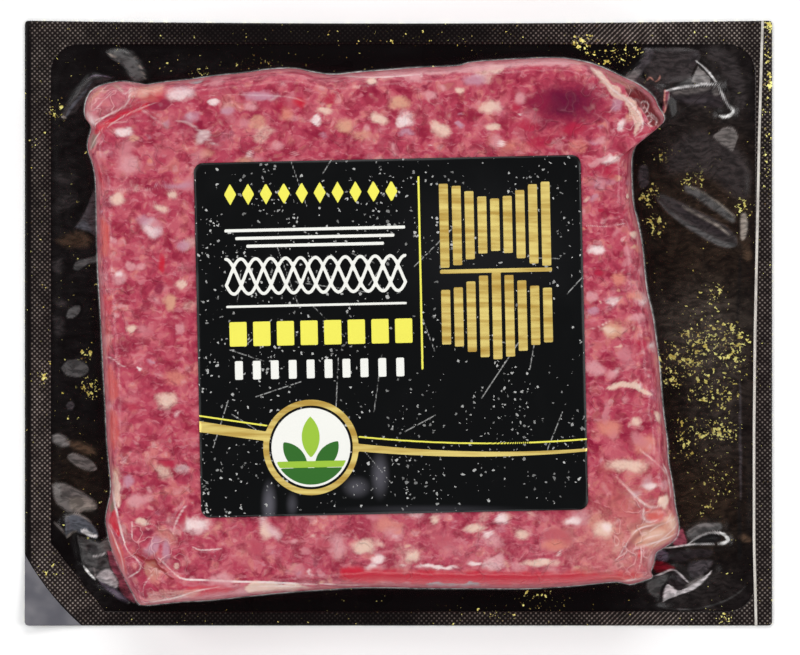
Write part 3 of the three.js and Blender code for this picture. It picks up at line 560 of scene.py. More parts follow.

# Painted highlights along the film's folds, most of them bright: photo points, half width in pixels,
# tint, cover
FILM_HIGHLIGHTS = [
    ([(696, 61), (707, 70), (716, 82), (720, 89), (726, 103), (733, 111)], 0.9, "silver", 0.92),
    ([(730, 107), (734, 111), (731, 115), (725, 117), (719, 116)], 1.4, "white", 0.97),
    ([(665, 91), (677, 88), (692, 86), (707, 84), (716, 84)], 1.2, "silver", 0.92),
    ([(665, 90), (664, 102), (666, 108), (663, 115)], 0.7, "flesh", 0.85),
    ([(669, 93), (668, 102), (665, 108)], 0.7, "pewter", 0.7),
    ([(647, 80), (650, 77), (653, 80)], 0.7, "flesh", 0.8),
    ([(655, 82), (659, 80), (660, 76)], 0.8, "flesh", 0.8),
    ([(682, 206), (699, 216), (719, 226), (729, 235)], 1.1, "pearl", 0.8),
    ([(686, 185), (700, 190), (719, 203), (735, 217)], 0.8, "pearl", 0.7),
    ([(663, 548), (674, 547), (692, 544), (714, 544)], 0.8, "silver", 0.92),
    ([(688, 544), (696, 538), (705, 533), (715, 532), (723, 534), (729, 539)], 0.9, "silver", 0.95),
    ([(720, 532), (726, 536), (729, 540), (724, 543), (718, 544)], 1.5, "white", 0.97),
    ([(654, 576), (663, 573), (671, 569), (677, 571), (683, 577), (688, 582)], 0.9, "milk", 0.95),
    ([(662, 608), (690, 610), (715, 605), (735, 596), (746, 586)], 0.8, "grey", 0.6),
    ([(66, 517), (72, 513), (82, 515), (92, 523)], 0.8, "pearl", 0.7),
    ([(54, 522), (61, 528), (67, 537)], 1.1, "ash", 0.8),
    ([(67, 537), (72, 532), (78, 531)], 1.0, "pearl", 0.85),
    ([(78, 536), (81, 546), (83, 558), (84, 567)], 1.5, "grey", 0.85),
    ([(93, 556), (99, 556), (106, 553)], 0.9, "silver", 0.92),
    ([(84, 566), (89, 573), (95, 579)], 1.2, "white", 0.97),
    ([(95, 579), (95, 570), (93, 566)], 0.7, "pewter", 0.7),
    ([(128, 52), (137, 60), (143, 72), (146, 80)], 0.8, "pearl", 0.7),
    ([(109, 54), (116, 58)], 1.1, "pearl", 0.7),
    ([(66, 117), (72, 106), (80, 98), (84, 92)], 1.5, "blue", 0.8),
    ([(84, 96), (88, 86), (92, 82)], 1.3, "blue", 0.7),
    ([(62, 117), (66, 118)], 1.3, "pearl", 0.8),
    ([(88, 79), (94, 75), (104, 76), (112, 78)], 0.7, "lilac", 0.7),
    ([(70, 458), (80, 461), (92, 467)], 0.8, "shade", 0.6),
]

# Specks printed on the web: photo middle, half width and half depth in pixels, share of the cells
SPECKS = [
    ((712, 336), (40, 20), 0.95),
    ((690, 356), (34, 22), 0.95),
    ((672, 372), (18, 20), 0.8),
    ((730, 350), (22, 30), 0.8),
    ((712, 392), (30, 26), 0.7),
    ((722, 430), (20, 16), 1.0),
    ((690, 440), (30, 26), 0.5),
    ((715, 480), (26, 30), 0.4),
    ((705, 508), (12, 12), 0.5),
    ((714, 292), (14, 12), 0.9),
    ((702, 312), (26, 10), 0.4),
    ((655, 224), (12, 14), 0.8),
    ((650, 196), (12, 12), 0.7),
    ((743, 208), (10, 14), 0.95),
    ((690, 184), (16, 10), 0.5),
    ((666, 156), (16, 12), 0.5),
    ((700, 172), (14, 10), 0.6),
    ((584, 42), (16, 10), 0.9),
    ((606, 56), (24, 10), 0.6),
    ((626, 52), (24, 14), 0.5),
    ((640, 78), (18, 8), 0.3),
    ((768, 26), (5, 8), 1.6),
    ((768, 82), (5, 12), 1.6),
    ((768, 50), (6, 20), 0.6),
    ((767, 150), (6, 80), 0.35),
    ((56, 110), (12, 14), 0.55),
    ((86, 358), (10, 12), 0.7),
    ((90, 388), (14, 14), 0.8),
    ((43, 376), (6, 10), 0.9),
    ((540, 600), (30, 14), 0.3),
    ((500, 614), (20, 10), 0.3),
    ((722, 618), (12, 6), 0.8),
    ((200, 72), (14, 7), 0.7),
    ((250, 64), (40, 9), 0.2),
    ((52, 570), (14, 10), 0.25),
    ((400, 36), (340, 8), 0.05),
]

# Painted sheen on the label, soft pale patches: photo middle and radii in pixels, softness, level
LABEL_SHEEN = [
    ((270, 503), (5, 15), 0.9, 0.5),
    ((380, 474), (6, 15), 0.9, 0.42),
    ((357, 486), (9, 7), 0.9, 0.35),
    ((293, 503), (4, 8), 0.9, 0.25),
    ((430, 508), (60, 3), 0.9, 0.12),
    ((480, 250), (70, 50), 0.9, 0.03),
]

# How strongly the weld is knurled and how bright its painted glints are, faint where the light
# doesn't catch them: photo middle, radii in pixels, level from 0 to 1
KNURL_AND_GLINT = [
    ((38, 480), (16, 130), 1.0),
    ((64, 590), (50, 40), 1.0),
    ((640, 32), (110, 22), 1.05),
    ((330, 32), (200, 22), 0.04),
    ((300, 622), (210, 20), 0.1),
    ((520, 618), (90, 16), 0.6),
    ((640, 618), (60, 14), 0.8),
    ((764, 330), (8, 300), 0.55),
]
SLANTS = [((618, 34), (40, 16)), ((640, 618), (44, 12))]

# The white printed line near the right edge, as photo points from top to foot
PRINT_EDGE = [(762.5, 20), (759, 140), (757.5, 215), (755, 330), (754, 430), (754, 540), (756, 626)]


def on_pack(points):
    """Photo pixels to millimetres on the pack: scaled about the pack's middle, rows turned upwards."""
    pixels = np.asarray(points, float).reshape(-1, 2)
    x = (pixels[:, 0] - PHOTO_MIDDLE[0]) * PHOTO_SCALE
    y = (PHOTO_MIDDLE[1] - pixels[:, 1]) * PHOTO_SCALE
    return np.column_stack([x, y])


def step(value, low, high):
    """A smooth step from 0 at low to 1 at high: 3t^2 - 2t^3 of the clamped share t."""
    t = np.clip((value - low) / (high - low), 0, 1)
    return t * t * (3 - 2 * t)


def noise(x, y, cell, seed):
    """Smooth bumps from -1 to 1: random heights at the corners of square cells, blended by steps."""
    table = np.random.default_rng(seed).uniform(-1, 1, (NOISE_CELLS, NOISE_CELLS))
    i, j = np.floor(x / cell).astype(int), np.floor(y / cell).astype(int)
    u, v = step(x / cell - i, 0, 1), step(y / cell - j, 0, 1)
    left, right, near, far = (k % NOISE_CELLS for k in (i, i + 1, j, j + 1))
    low = table[left, near] * (1 - u) + table[right, near] * u
    high = table[left, far] * (1 - u) + table[right, far] * u
    return low * (1 - v) + high * v


def rounded(points, rounds=3):
    """A line of points with its corners cut, each round keeping the quarters of every stretch."""
    line = np.asarray(points, float)
    for _ in range(rounds):
        a, b = line[:-1], line[1:]
        cut = np.stack([0.75 * a + 0.25 * b, 0.25 * a + 0.75 * b], 1).reshape(-1, 2)
        line = np.vstack([line[:1], cut, line[-1:]])
    return line


def along_line(x, y, line, reach=None):
    """Distance from a line of points to each place, and the share of the line's length at its foot.
    With a reach, places farther than that from the line's box are left at a large distance."""
    nearest = np.full(x.shape, 1e3)
    share = np.zeros(x.shape)
    near = np.ones(x.shape, bool)
    if reach is not None:
        (left, low), (right, high) = line.min(axis=0) - reach, line.max(axis=0) + reach
        near = (x > left) & (x < right) & (y > low) & (y < high)
    px, py = x[near], y[near]
    best, where = np.full(px.shape, 1e3), np.zeros(px.shape)
    lengths = np.hypot(*np.diff(line, axis=0).T)
    starts = np.concatenate([[0], np.cumsum(lengths)])
    for k, length in enumerate(lengths):
        ax, ay = line[k]
        dx, dy = (line[k + 1] - line[k]) / max(length, 1e-9)
        t = np.clip((px - ax) * dx + (py - ay) * dy, 0, length)
        away = np.hypot(px - ax - t * dx, py - ay - t * dy)
        closer = away < best
        best = np.where(closer, away, best)
        where = np.where(closer, (starts[k] + t) / starts[-1], where)
    nearest[near], share[near] = best, where
    return nearest, share


def outline(edges, cut=None):
    """A closed rectangle with round corners and a sagging far edge, its lower left corner perhaps cut
    by a curve, as points at even steps of its length."""
    left, right, top, bottom, r = (edges[k] for k in ("left", "right", "top", "bottom", "corner"))
    quarter = np.linspace(0, math.pi / 2, 16)
    if cut:
        t = np.linspace(0, 1, 40)[:, None]
        a, b = np.array([left, bottom + cut["side"]]), np.array([left + cut["foot"], bottom])
        pull = (a + b) / 2 - cut["bow"]
        parts = [(1 - t) ** 2 * a + 2 * t * (1 - t) * pull + t**2 * b]
    else:
        turn = quarter + math.pi
        parts = [np.column_stack([left + r + r * np.cos(turn), bottom + r + r * np.sin(turn)])]
    for cx, cy, start in [(right - r, bottom + r, -math.pi / 2), (right - r, top - r, 0)]:
        turn = quarter + start
        parts.append(np.column_stack([cx + r * np.cos(turn), cy + r * np.sin(turn)]))
    across = np.linspace(right - r, left + r, 60)
    share = (across - left) / (right - left)
    parts.append(np.column_stack([across, top - edges["sag"] * 4 * share * (1 - share)]))
    turn = quarter + math.pi / 2
    parts.append(np.column_stack([left + r + r * np.cos(turn), top - r + r * np.sin(turn)]))
    line = np.vstack(parts)
    closed = np.vstack([line, line[:1]])
    lengths = np.concatenate([[0], np.cumsum(np.hypot(*np.diff(closed, axis=0).T))])
    even = np.linspace(0, lengths[-1], OUTLINE_POINTS, endpoint=False)
    return np.column_stack([np.interp(even, lengths, closed[:, k]) for k in (0, 1)])


def reach_of(points, middle):
    """How far a closed outline lies from a middle in each direction, as a function of the angle: the
    farthest crossing of its sides with rays in even directions."""
    even = np.linspace(-math.pi, math.pi, DIRECTIONS, endpoint=False)
    ray_x, ray_y = np.cos(even), np.sin(even)
    far = np.zeros(even.shape)
    starts = points - np.asarray(middle)
    for (ax, ay), (bx, by) in zip(starts, np.roll(starts, -1, axis=0)):
        side_a, side_b = ray_x * ay - ray_y * ax, ray_x * by - ray_y * bx
        crossed = side_a * side_b <= 0
        share = side_a / np.where(np.abs(side_a - side_b) < 1e-12, 1, side_a - side_b)
        along = (ax + (bx - ax) * share) * ray_x + (ay + (by - ay) * share) * ray_y
        far = np.where(crossed & (along > far), along, far)
    return lambda at: np.interp(at, even, far, period=2 * math.pi)


slab_reach = reach_of(rounded(on_pack(SLAB_EDGE + SLAB_EDGE[:1]), 2)[:-1], MIDDLE)
cavity_reach = reach_of(outline(CAVITY, CAVITY_CUT), MIDDLE)
weld_reach = reach_of(outline(PACK, PEEL_CUT), MIDDLE)
web_reach = reach_of(outline(PACK), MIDDLE)


def ringed_grid(cells, reach, middle, rings, shares):
    """A square grid drawn out to an outline: x, y, distance in from the rim, and the faces' corners.
    A point's ring is the larger of |u| and |v|, its direction that of (u, v), and its share of the reach
    is read off the given table of rings and shares. Well inside the rim the reach is a mean over 16
    degrees, so that a notch in the outline doesn't fold the grid."""
    v, u = np.meshgrid(*[np.linspace(-1, 1, cells + 1)] * 2, indexing="ij")
    ring = np.maximum(np.abs(u), np.abs(v))
    angle = np.arctan2(v * GRID_SIDES[1], u * GRID_SIDES[0])
    share = np.interp(ring, rings, shares)
    rim_far = reach(angle)
    calm = np.mean([reach(angle + turn) for turn in np.linspace(-0.14, 0.14, 15)], axis=0)
    far = share * (calm + (rim_far - calm) * share**8)
    x = middle[0] + far * np.cos(angle)
    y = middle[1] + far * np.sin(angle)
    number = np.arange((cells + 1) ** 2).reshape(cells + 1, cells + 1)
    quads = np.stack([number[:-1, :-1], number[:-1, 1:], number[1:, 1:], number[1:, :-1]], -1)
    rim = np.concatenate([number[0, :-1], number[:-1, -1], number[-1, :0:-1], number[:0:-1, 0]])
    return x.ravel(), y.ravel(), (rim_far - far).ravel(), quads.reshape(-1, 4), rim


def ringed_sheet(x, y, z, quads, rim, floor):
    """Closes a ringed grid downwards: a wall from its rim to the floor, and a fan to one point."""
    count = len(x)
    low = count + np.arange(len(rim))
    following = np.roll(np.arange(len(rim)), -1)
    walls = np.stack([rim, low, low[following], rim[following]], -1)
    fan = np.stack([low[following], low, np.full(len(rim), count + len(rim))], -1)
    points = np.column_stack([x, y, z])
    below = np.column_stack([x[rim], y[rim], np.full(len(rim), floor)])
    middle = np.array([[x[rim].mean(), y[rim].mean(), floor]])
    return np.vstack([points, below, middle]), [quads, walls, fan]


def ring_band(profiles, closed):
    """Joins rows of points round a ring. profiles has the shape round, across, 3. A closed band's last
    point across joins its first."""
    count, across = profiles.shape[:2]
    number = np.arange(count * across).reshape(count, across)
    following = np.roll(number, -1, axis=0)
    if closed:
        here, there = np.roll(number, -1, axis=1), np.roll(following, -1, axis=1)
        quads = np.stack([number, here, there, following], -1)
    else:
        quads = np.stack([number[:, :-1], number[:, 1:], following[:, 1:], following[:, :-1]], -1)
    return profiles.reshape(-1, 3), [quads.reshape(-1, 4)]


def piece(name, points, faces, material, node, attributes=None, sharp=60):
    """Puts points in millimetres, rows of face corners and named values at the points into a mesh. Its
    edges are sharp past an angle in degrees. It rides on the pack and replaces a node's solid."""
    mesh = bpy.data.meshes.new(name)
    corners = np.concatenate([f.ravel() for f in faces]).astype(np.int32)
    totals = np.concatenate([np.full(len(f), f.shape[1]) for f in faces]).astype(np.int32)
    starts = np.concatenate([[0], np.cumsum(totals)[:-1]]).astype(np.int32)
    mesh.vertices.add(len(points))
    mesh.vertices.foreach_set("co", (np.asarray(points) * MM).astype(np.float32).ravel())
    mesh.loops.add(len(corners))
    mesh.loops.foreach_set("vertex_index", corners)
    mesh.polygons.add(len(totals))
    mesh.polygons.foreach_set("loop_start", starts)
    mesh.polygons.foreach_set("loop_total", totals)
    mesh.polygons.foreach_set("use_smooth", np.ones(len(totals), bool))
    mesh.update(calc_edges=True)
    mesh.validate()
    mesh.set_sharp_from_angle(angle=math.radians(sharp))
    for key, values in (attributes or {}).items():
        full = np.empty((len(points), *values.shape[1:]), np.float32)
        full[: len(values)], full[len(values) :] = values, values[-1]
        kind, field = ("FLOAT_COLOR", "color") if full.ndim == 2 else ("FLOAT", "value")
        mesh.attributes.new(key, kind, "POINT").data.foreach_set(field, full.ravel())
    mesh.materials.append(material)
    obj = bpy.data.objects.new(name, mesh)
    bpy.context.scene.collection.objects.link(obj)
    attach(obj, "root")
    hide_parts(node)


def slab_crown(x, y):
    """Height of the slab's top over the web: a shallow dome with two slow waves."""
    height = SLAB_THICK - CROWN * ((x / PACK["right"]) ** 2 + (y / PACK["top"]) ** 2)
    for rise, per_x, per_y, start in SWELLS:
        height = height + rise * np.sin(x * per_x + y * per_y + start)
    return height


def shoulder(inward):
    """Share of the full height at a distance in from the foot: a quarter of a superellipse."""
    left = 1 - np.clip(inward / SHOULDER, 0, 1)
    return (1 - left**ROUNDNESS) ** (1 / ROUNDNESS)


def label_place(x, y):
    """Coordinates on the label's own axes: turned and moved to its middle."""
    turn = math.radians(LABEL["turn"])
    dx, dy = x - LABEL["at"][0], y - LABEL["at"][1]
    return dx * math.cos(turn) + dy * math.sin(turn), dy * math.cos(turn) - dx * math.sin(turn)


def label_margin(x, y):
    """Distance out of the label's rectangle, negative inside it."""
    u, v = label_place(x, y)
    return np.maximum(np.abs(u) - LABEL["width"] / 2, np.abs(v) - LABEL["depth"] / 2)


def creases(x, y):
    """Sum of the creases, each a height that falls off sideways as exp(-(d/w)^1.4) and to its ends."""
    total = np.zeros(x.shape)
    for points, height, width in CREASES:
        away, share = along_line(x, y, rounded(on_pack(points)), 5 * width)
        ends = 0.35 + 0.65 * step(np.minimum(share, 1 - share), 0, 0.3)
        total += height * ends * np.exp(-((away / width) ** 1.4))
    return total


class Paint:
    """Tints laid over one another on a set of places, with how far each place is covered."""

    def __init__(self, x, y, tints, wobble):
        self.x, self.y, self.tints = x, y, tints
        self.bent_x = x + wobble * (noise(x, y, 2.2, 31) + 0.5 * noise(x, y, 1.0, 33))
        self.bent_y = y + wobble * (noise(x, y, 2.2, 32) + 0.5 * noise(x, y, 1.0, 34))
        self.colour = np.full((x.size, 3), 0.5)
        self.cover = np.zeros(x.size)

    def lay(self, where, tint, cover):
        """Lays a tint: the colour moves to it by its share of the total cover, a + b (1 - a)."""
        total = cover + self.cover[where] * (1 - cover)
        share = (cover + 1e-3) / (total + 1e-3)
        laid = np.array(srgb(*self.tints[tint])[:3])
        self.colour[where] += (laid - self.colour[where]) * share[:, None]
        self.cover[where] = total

    def near(self, points, reach):
        """Numbers of the places in a box round the points, widened by a reach."""
        (left, low), (right, high) = points.min(axis=0) - reach, points.max(axis=0) + reach
        return np.flatnonzero((self.x > left) & (self.x < right) & (self.y > low) & (self.y < high))

    def area(self, points, tint, cover, soft):
        """Lays a tint inside a loop, its edge a smooth step of the depth in; gives places and depths."""
        loop = rounded(on_pack(points + points[:1]), 2)[:-1]
        where = self.near(loop, soft + 2)
        deep = inside_loop(self.bent_x[where], self.bent_y[where], loop)
        self.lay(where, tint, cover * step(deep, -soft, soft))
        return where, deep

    def lump(self, cx, cy, wide, deep, tint, cover, tilt=0.0, edge=1.5):
        """Lays a tilted ellipse in millimetres whose cover falls as edge (1.35 - r), r in radii."""
        away = np.abs(self.bent_x - cx) + np.abs(self.bent_y - cy)
        where = np.flatnonzero(away < 3.2 * max(wide, deep))
        dx, dy = self.bent_x[where] - cx, self.bent_y[where] - cy
        along = (dx * math.cos(tilt) + dy * math.sin(tilt)) / wide
        side = (dy * math.cos(tilt) - dx * math.sin(tilt)) / deep
        self.lay(where, tint, cover * np.clip(edge * (1.35 - np.hypot(along, side)), 0, 1))

    def line(self, points, half, tint, cover):
        """Lays a line of a half width in pixels, thinner towards its ends."""
        curve = rounded(on_pack(points))
        where = self.near(curve, 2)
        away, share = along_line(self.x[where], self.y[where], curve)
        taper = 0.5 + 0.5 * step(np.minimum(share, 1 - share), 0, 0.2)
        broken = np.clip(0.75 + 0.5 * noise(self.x[where], self.y[where], 2.5, 35), 0, 1)
        inside = np.clip((half * PHOTO_SCALE * taper - away) / 0.3 + 0.5, 0, 1)
        self.lay(where, tint, cover * broken * inside)

    def mist(self, middle, radii, tint, cover):
        """Lays a tint thinly over a soft ellipse of photo pixels."""
        self.lay(np.arange(self.x.size), tint, cover * patch(self.x, self.y, middle, radii, 0.8))

    def result(self):
        """Colour and cover side by side, as a colour attribute holds them."""
        return np.column_stack([self.colour, np.clip(self.cover, 0, 1)])


def paint_slab(x, y, inward):
    """What shows through the film on the slab: scattered fat, lumps seen, areas with some painted shade
    and painted reflections, and white lines of painted highlight. The cover fades at the outline, where
    the sides go down, so that they show the mince itself, and a pale band of painted sheen lies on the
    shoulder."""
    rng = np.random.default_rng(12)
    paint = Paint(x, y, MINCE_TINTS, 0.55)
    for _ in range(SCATTERED):
        cx, cy = rng.uniform([-92, -78], [82, 74])
        size = 0.45 + 1.9 * rng.random() ** 2.6
        aspect, tilt = rng.uniform(1, 2.0), rng.uniform(-0.9, 0.9)
        cover, tint = rng.uniform(0.15, 0.85), rng.choice(SCATTER)
        if label_margin(cx, cy) > -1.5:
            paint.lump(cx, cy, size * aspect, size, tint, cover, tilt, rng.uniform(0.8, 1.8))
    for mist in SLAB_MISTS:
        paint.mist(*mist)
    for px, py, wide, deep, tint in LUMPS:
        cx, cy = on_pack((px, py))[0]
        paint.lump(cx, cy, 0.9 * wide * PHOTO_SCALE, 0.9 * deep * PHOTO_SCALE, tint, 0.8, 0.0, 1.25)
    relief = paint.cover.copy()
    for area in SLAB_AREAS:
        paint.area(*area)
    # The film's painted highlights, laid in white
    for points, half, cover in SLAB_HIGHLIGHTS:
        paint.line(points, 0.8 * half, "white", cover)
    ragged = inward + 0.5 * noise(x, y, 1.7, 44) + 0.25 * noise(x, y, 0.8, 45)
    paint.cover *= 0.06 + 0.94 * step(ragged, 0.1, 2.0)
    # A pale rose band just inside the outline: painted sheen that lightens the shoulder
    paint.lay(np.arange(x.size), "rose", 0.4 * np.exp(-(((inward - 0.9) / 0.7) ** 2)))
    return paint.result(), relief


def paint_film(x, y, out):
    """What the film off the slab shows: thin haze, panes and folds painted with reflections and shade,
    bright lines of painted highlight, and a painted highlight where the film turns down at the slab's
    foot, given the distance out from it; and its panes' lift."""
    paint = Paint(x, y, FILM_TINTS, 0.12)
    lift = np.zeros(x.size)
    for mist in MISTS:
        paint.mist(*mist)
    for *area, rise in FILM_PANE_REFLECTIONS:
        where, deep = paint.area(*area)
        lift[where] = np.maximum(lift[where], 0.5 * rise * step(deep, -1.0, 1.8))
    # Painted highlights along the folds
    for line in FILM_HIGHLIGHTS:
        paint.line(*line)
    # A white painted highlight where the film turns down at the slab's foot
    foot_highlight = np.exp(-(((out + 0.15) / 0.35) ** 2)) * np.clip(0.8 + 0.5 * noise(x, y, 7, 43), 0, 1)
    paint.lay(np.arange(x.size), "white", foot_highlight)
    return paint.result(), lift


def tents(x, y):
    """Highest of the film's folds, each falling from its crest as (1 - (d/w)^2)^2."""
    highest = np.zeros(x.shape)
    for points, start, end, width in TENTS:
        away, share = along_line(x, y, rounded(on_pack(points)), 8)
        crest = start + (end - start) * share
        spread = width * (1.1 + 0.15 * crest)
        highest = np.maximum(highest, 0.28 * crest * np.clip(1 - (away / spread) ** 2, 0, 1) ** 2)
    return highest


def inside_loop(x, y, loop):
    """Distance in from a closed line of points, negative where an even-odd count is even."""
    closed = np.vstack([loop, loop[:1]])
    away, _ = along_line(x, y, closed)
    crossings = np.zeros(x.shape, int)
    for (ax, ay), (bx, by) in zip(closed[:-1], closed[1:]):
        spans = (ay > y) != (by > y)
        crossings += spans & (x < ax + (bx - ax) * (y - ay) / ((by - ay) or 1e-9))
    return np.where(crossings % 2 == 1, away, -away)


def specks(x, y):
    """Share of printed specks: the largest of soft elliptic clouds, and a thin scatter everywhere."""
    share = np.full(x.shape, 0.006)
    for middle, (wide, deep), amount in SPECKS:
        cx, cy = on_pack(middle)[0]
        out = np.hypot((x - cx) / (wide * PHOTO_SCALE), (y - cy) / (deep * PHOTO_SCALE))
        share = np.maximum(share, amount * (1 - step(out, 0.35, 1.2)))
    return share


def print_edge(x, y):
    """Signed distance across the white printed line, positive on its right."""
    line = on_pack(PRINT_EDGE)[::-1]
    return x - np.interp(y, line[:, 1], line[:, 0])


def patch(x, y, middle, radii, soft=0.5):
    """1 inside an ellipse of photo pixels and 0 outside it, with a soft margin."""
    cx, cy = on_pack(middle)[0]
    out = np.hypot((x - cx) / (radii[0] * PHOTO_SCALE), (y - cy) / (radii[1] * PHOTO_SCALE))
    return 1 - step(out, 1 - soft, 1 + soft)


def ring_angles(count):
    """Angles round the pack at even steps of a weighted length along the cavity's outline, where its
    left and right sides weigh four times as much as its far and near sides."""
    even = np.linspace(-math.pi, math.pi, DIRECTIONS, endpoint=False)
    x = cavity_reach(even) * np.cos(even)
    y = cavity_reach(even) * np.sin(even)
    weight = 1 + 3 * step(np.abs(x), 70, 84)
    total = np.cumsum(np.hypot(x - np.roll(x, 1), y - np.roll(y, 1)) * weight)
    return np.interp(np.arange(count) / count, (total - total[0]) / total[-1], even)[:, None]


class Nodes:
    """Short words for adding nodes to one node tree."""

    def __init__(self, tree):
        self.tree = tree

    def add(self, kind, inputs=None, **settings):
        made = self.tree.nodes.new(kind)
        for key, value in settings.items():
            setattr(made, key, value)
        for key, value in (inputs or {}).items():
            if isinstance(value, bpy.types.NodeSocket):
                self.tree.links.new(value, made.inputs[key])
            else:
                made.inputs[key].default_value = value
        return made

    def math(self, operation, *values, clamp=False):
        made = self.add("ShaderNodeMath", dict(enumerate(values)), operation=operation, use_clamp=clamp)
        return made.outputs[0]

    def vector(self, operation, a, b):
        key = "Scale" if operation == "SCALE" else 1
        return self.add("ShaderNodeVectorMath", {0: a, key: b}, operation=operation).outputs[0]

    def ramp(self, value, low, high, to_low=0.0, to_high=1.0):
        inputs = {"Value": value, "From Min": low, "From Max": high, "To Min": to_low, "To Max": to_high}
        return self.add("ShaderNodeMapRange", inputs, interpolation_type="SMOOTHSTEP").outputs["Result"]

    def mix(self, factor, a, b, blend="MIX"):
        made = self.add("ShaderNodeMix", {0: factor, 6: a, 7: b}, data_type="RGBA", blend_type=blend)
        return made.outputs[2]

    def noise(self, vector, scale, detail=2.0, roughness=0.5):
        inputs = {"Vector": vector, "Scale": scale, "Detail": detail, "Roughness": roughness}
        return self.add("ShaderNodeTexNoise", inputs).outputs[0]

    def warped(self, vector, scale, amount):
        inputs = {"Vector": vector, "Scale": scale, "Detail": 2.0}
        colour = self.add("ShaderNodeTexNoise", inputs).outputs["Color"]
        shift = self.vector("SUBTRACT", colour, (0.5, 0.5, 0.5))
        return self.vector("ADD", vector, self.vector("SCALE", shift, amount))

    def cells(self, vector, scale, feature="F1"):
        return self.add("ShaderNodeTexVoronoi", {"Vector": vector, "Scale": scale}, feature=feature)

    def attribute(self, name):
        return self.add("ShaderNodeAttribute", attribute_name=name).outputs["Fac"]

    def shade(self, output, inputs):
        """A Principled shader with the given inputs, joined to the material's output."""
        shader = self.add("ShaderNodeBsdfPrincipled", inputs)
        self.tree.links.new(shader.outputs[0], output.inputs["Surface"])

    def painted(self):
        outputs = self.add("ShaderNodeAttribute", attribute_name="paint").outputs
        return outputs["Color"], outputs["Alpha"]

    def millimetres(self):
        place = self.add("ShaderNodeTexCoord").outputs["Object"]
        return self.vector("SCALE", place, 1000.0)

    def bump(self, height, distance, strength=1.0):
        inputs = {"Height": height, "Distance": distance * MM, "Strength": strength}
        return self.add("ShaderNodeBump", inputs).outputs["Normal"]


def srgb(red, green, blue):
    """A screen colour from 0 to 255 as the linear colour that a socket takes."""
    share = np.array([red, green, blue]) / 255
    line = np.where(share <= 0.04045, share / 12.92, ((share + 0.055) / 1.055) ** 2.4)
    return (*line.tolist(), 1.0)


def finish_of(name):
    """A new material with an empty tree, and its output node."""
    material = bpy.data.materials.new(name)
    material.use_nodes = True
    material.node_tree.nodes.clear()
    nodes = Nodes(material.node_tree)
    return material, nodes, nodes.add("ShaderNodeOutputMaterial")


def group(name, inputs, outputs):
    """A node group with named sockets, its nodes, its inputs by name, and its output node."""
    tree = bpy.data.node_groups.new(name, "ShaderNodeTree")
    for key, kind, value in inputs:
        socket = tree.interface.new_socket(key, in_out="INPUT", socket_type=kind)
        if value is not None:
            socket.default_value = value
    for key, kind in outputs:
        tree.interface.new_socket(key, in_out="OUTPUT", socket_type=kind)
    nodes = Nodes(tree)
    entry = nodes.add("NodeGroupInput")
    return tree, nodes, entry.outputs, nodes.add("NodeGroupOutput")


def make_crinkle_group():
    """Fine crinkles of tight film: thin ridges where a warped noise crosses its middle, and dimples."""
    tree, nodes, entry, leave = group(
        "film crinkle",
        [("Place", "NodeSocketVector", None), ("Size", "NodeSocketFloat", 0.2)],
        [("Height", "NodeSocketFloat"), ("Ridges", "NodeSocketFloat")],
    )
    bent = nodes.warped(entry["Place"], 0.12, 5.0)
    values = {"Vector": bent, "Scale": entry["Size"], "Detail": 1.5}
    fine = nodes.add("ShaderNodeTexNoise", values).outputs[0]
    off = nodes.math("ABSOLUTE", nodes.math("SUBTRACT", fine, 0.5))
    ridges = nodes.ramp(off, 0.0, 0.07, 1.0, 0.0)
    where = nodes.ramp(nodes.noise(entry["Place"], 0.07), 0.42, 0.62)
    dimples = nodes.math("MULTIPLY", nodes.noise(entry["Place"], 0.55), 0.5)
    height = nodes.math("MULTIPLY_ADD", ridges, where, dimples)
    nodes.tree.links.new(height, leave.inputs["Height"])
    # The thin ridges go out as a mask for painted highlights
    thin = nodes.ramp(off, 0.0, 0.022, 1.0, 0.0)
    nodes.tree.links.new(nodes.math("MULTIPLY", thin, where), leave.inputs["Ridges"])
    return tree


def make_print_group():
    """The web's print: black, jagged gold and yellow flakes, and a white line near the edge."""
    tree, nodes, entry, leave = group(
        "web print",
        [
            ("Place", "NodeSocketVector", None),
            ("Share", "NodeSocketFloat", 0.0),
            ("Edge", "NodeSocketFloat", 5.0),
        ],
        [("Color", "NodeSocketColor"), ("Speck", "NodeSocketFloat")],
    )
    bent = nodes.warped(entry["Place"], 2.2, 0.8)
    flakes = []
    root = nodes.math("SQRT", entry["Share"])
    for scale, rare, drop, shift in [(0.8, 0.79, 0.2, 0.0), (1.5, 0.78, 0.17, 41.0)]:
        moved = nodes.vector("ADD", bent, (shift, shift, 0.0))
        level = nodes.math("MULTIPLY_ADD", root, -drop, rare)
        over = nodes.math("SUBTRACT", nodes.noise(moved, scale, 1.0), level)
        flakes.append(nodes.ramp(over, 0.0, 0.02))
    large, small = flakes
    shade = nodes.ramp(nodes.noise(nodes.vector("ADD", bent, (0.0, 77.0, 0.0)), 0.9, 2.0), 0.4, 0.6)
    gold = nodes.mix(shade, srgb(206, 188, 92), srgb(252, 248, 150))
    dim = nodes.mix(shade, srgb(110, 84, 46), srgb(238, 230, 140))
    colour = nodes.mix(small, srgb(9, 5, 6), dim)
    colour = nodes.mix(large, colour, gold)
    beside = nodes.math("ABSOLUTE", entry["Edge"])
    line = nodes.ramp(beside, 0.25, 0.45, 1.0, 0.0)
    colour = nodes.mix(line, colour, srgb(226, 222, 214))
    tree.links.new(colour, leave.inputs["Color"])
    tree.links.new(nodes.math("MAXIMUM", large, small), leave.inputs["Speck"])
    return tree


CRINKLE = make_crinkle_group()
PRINT = make_print_group()


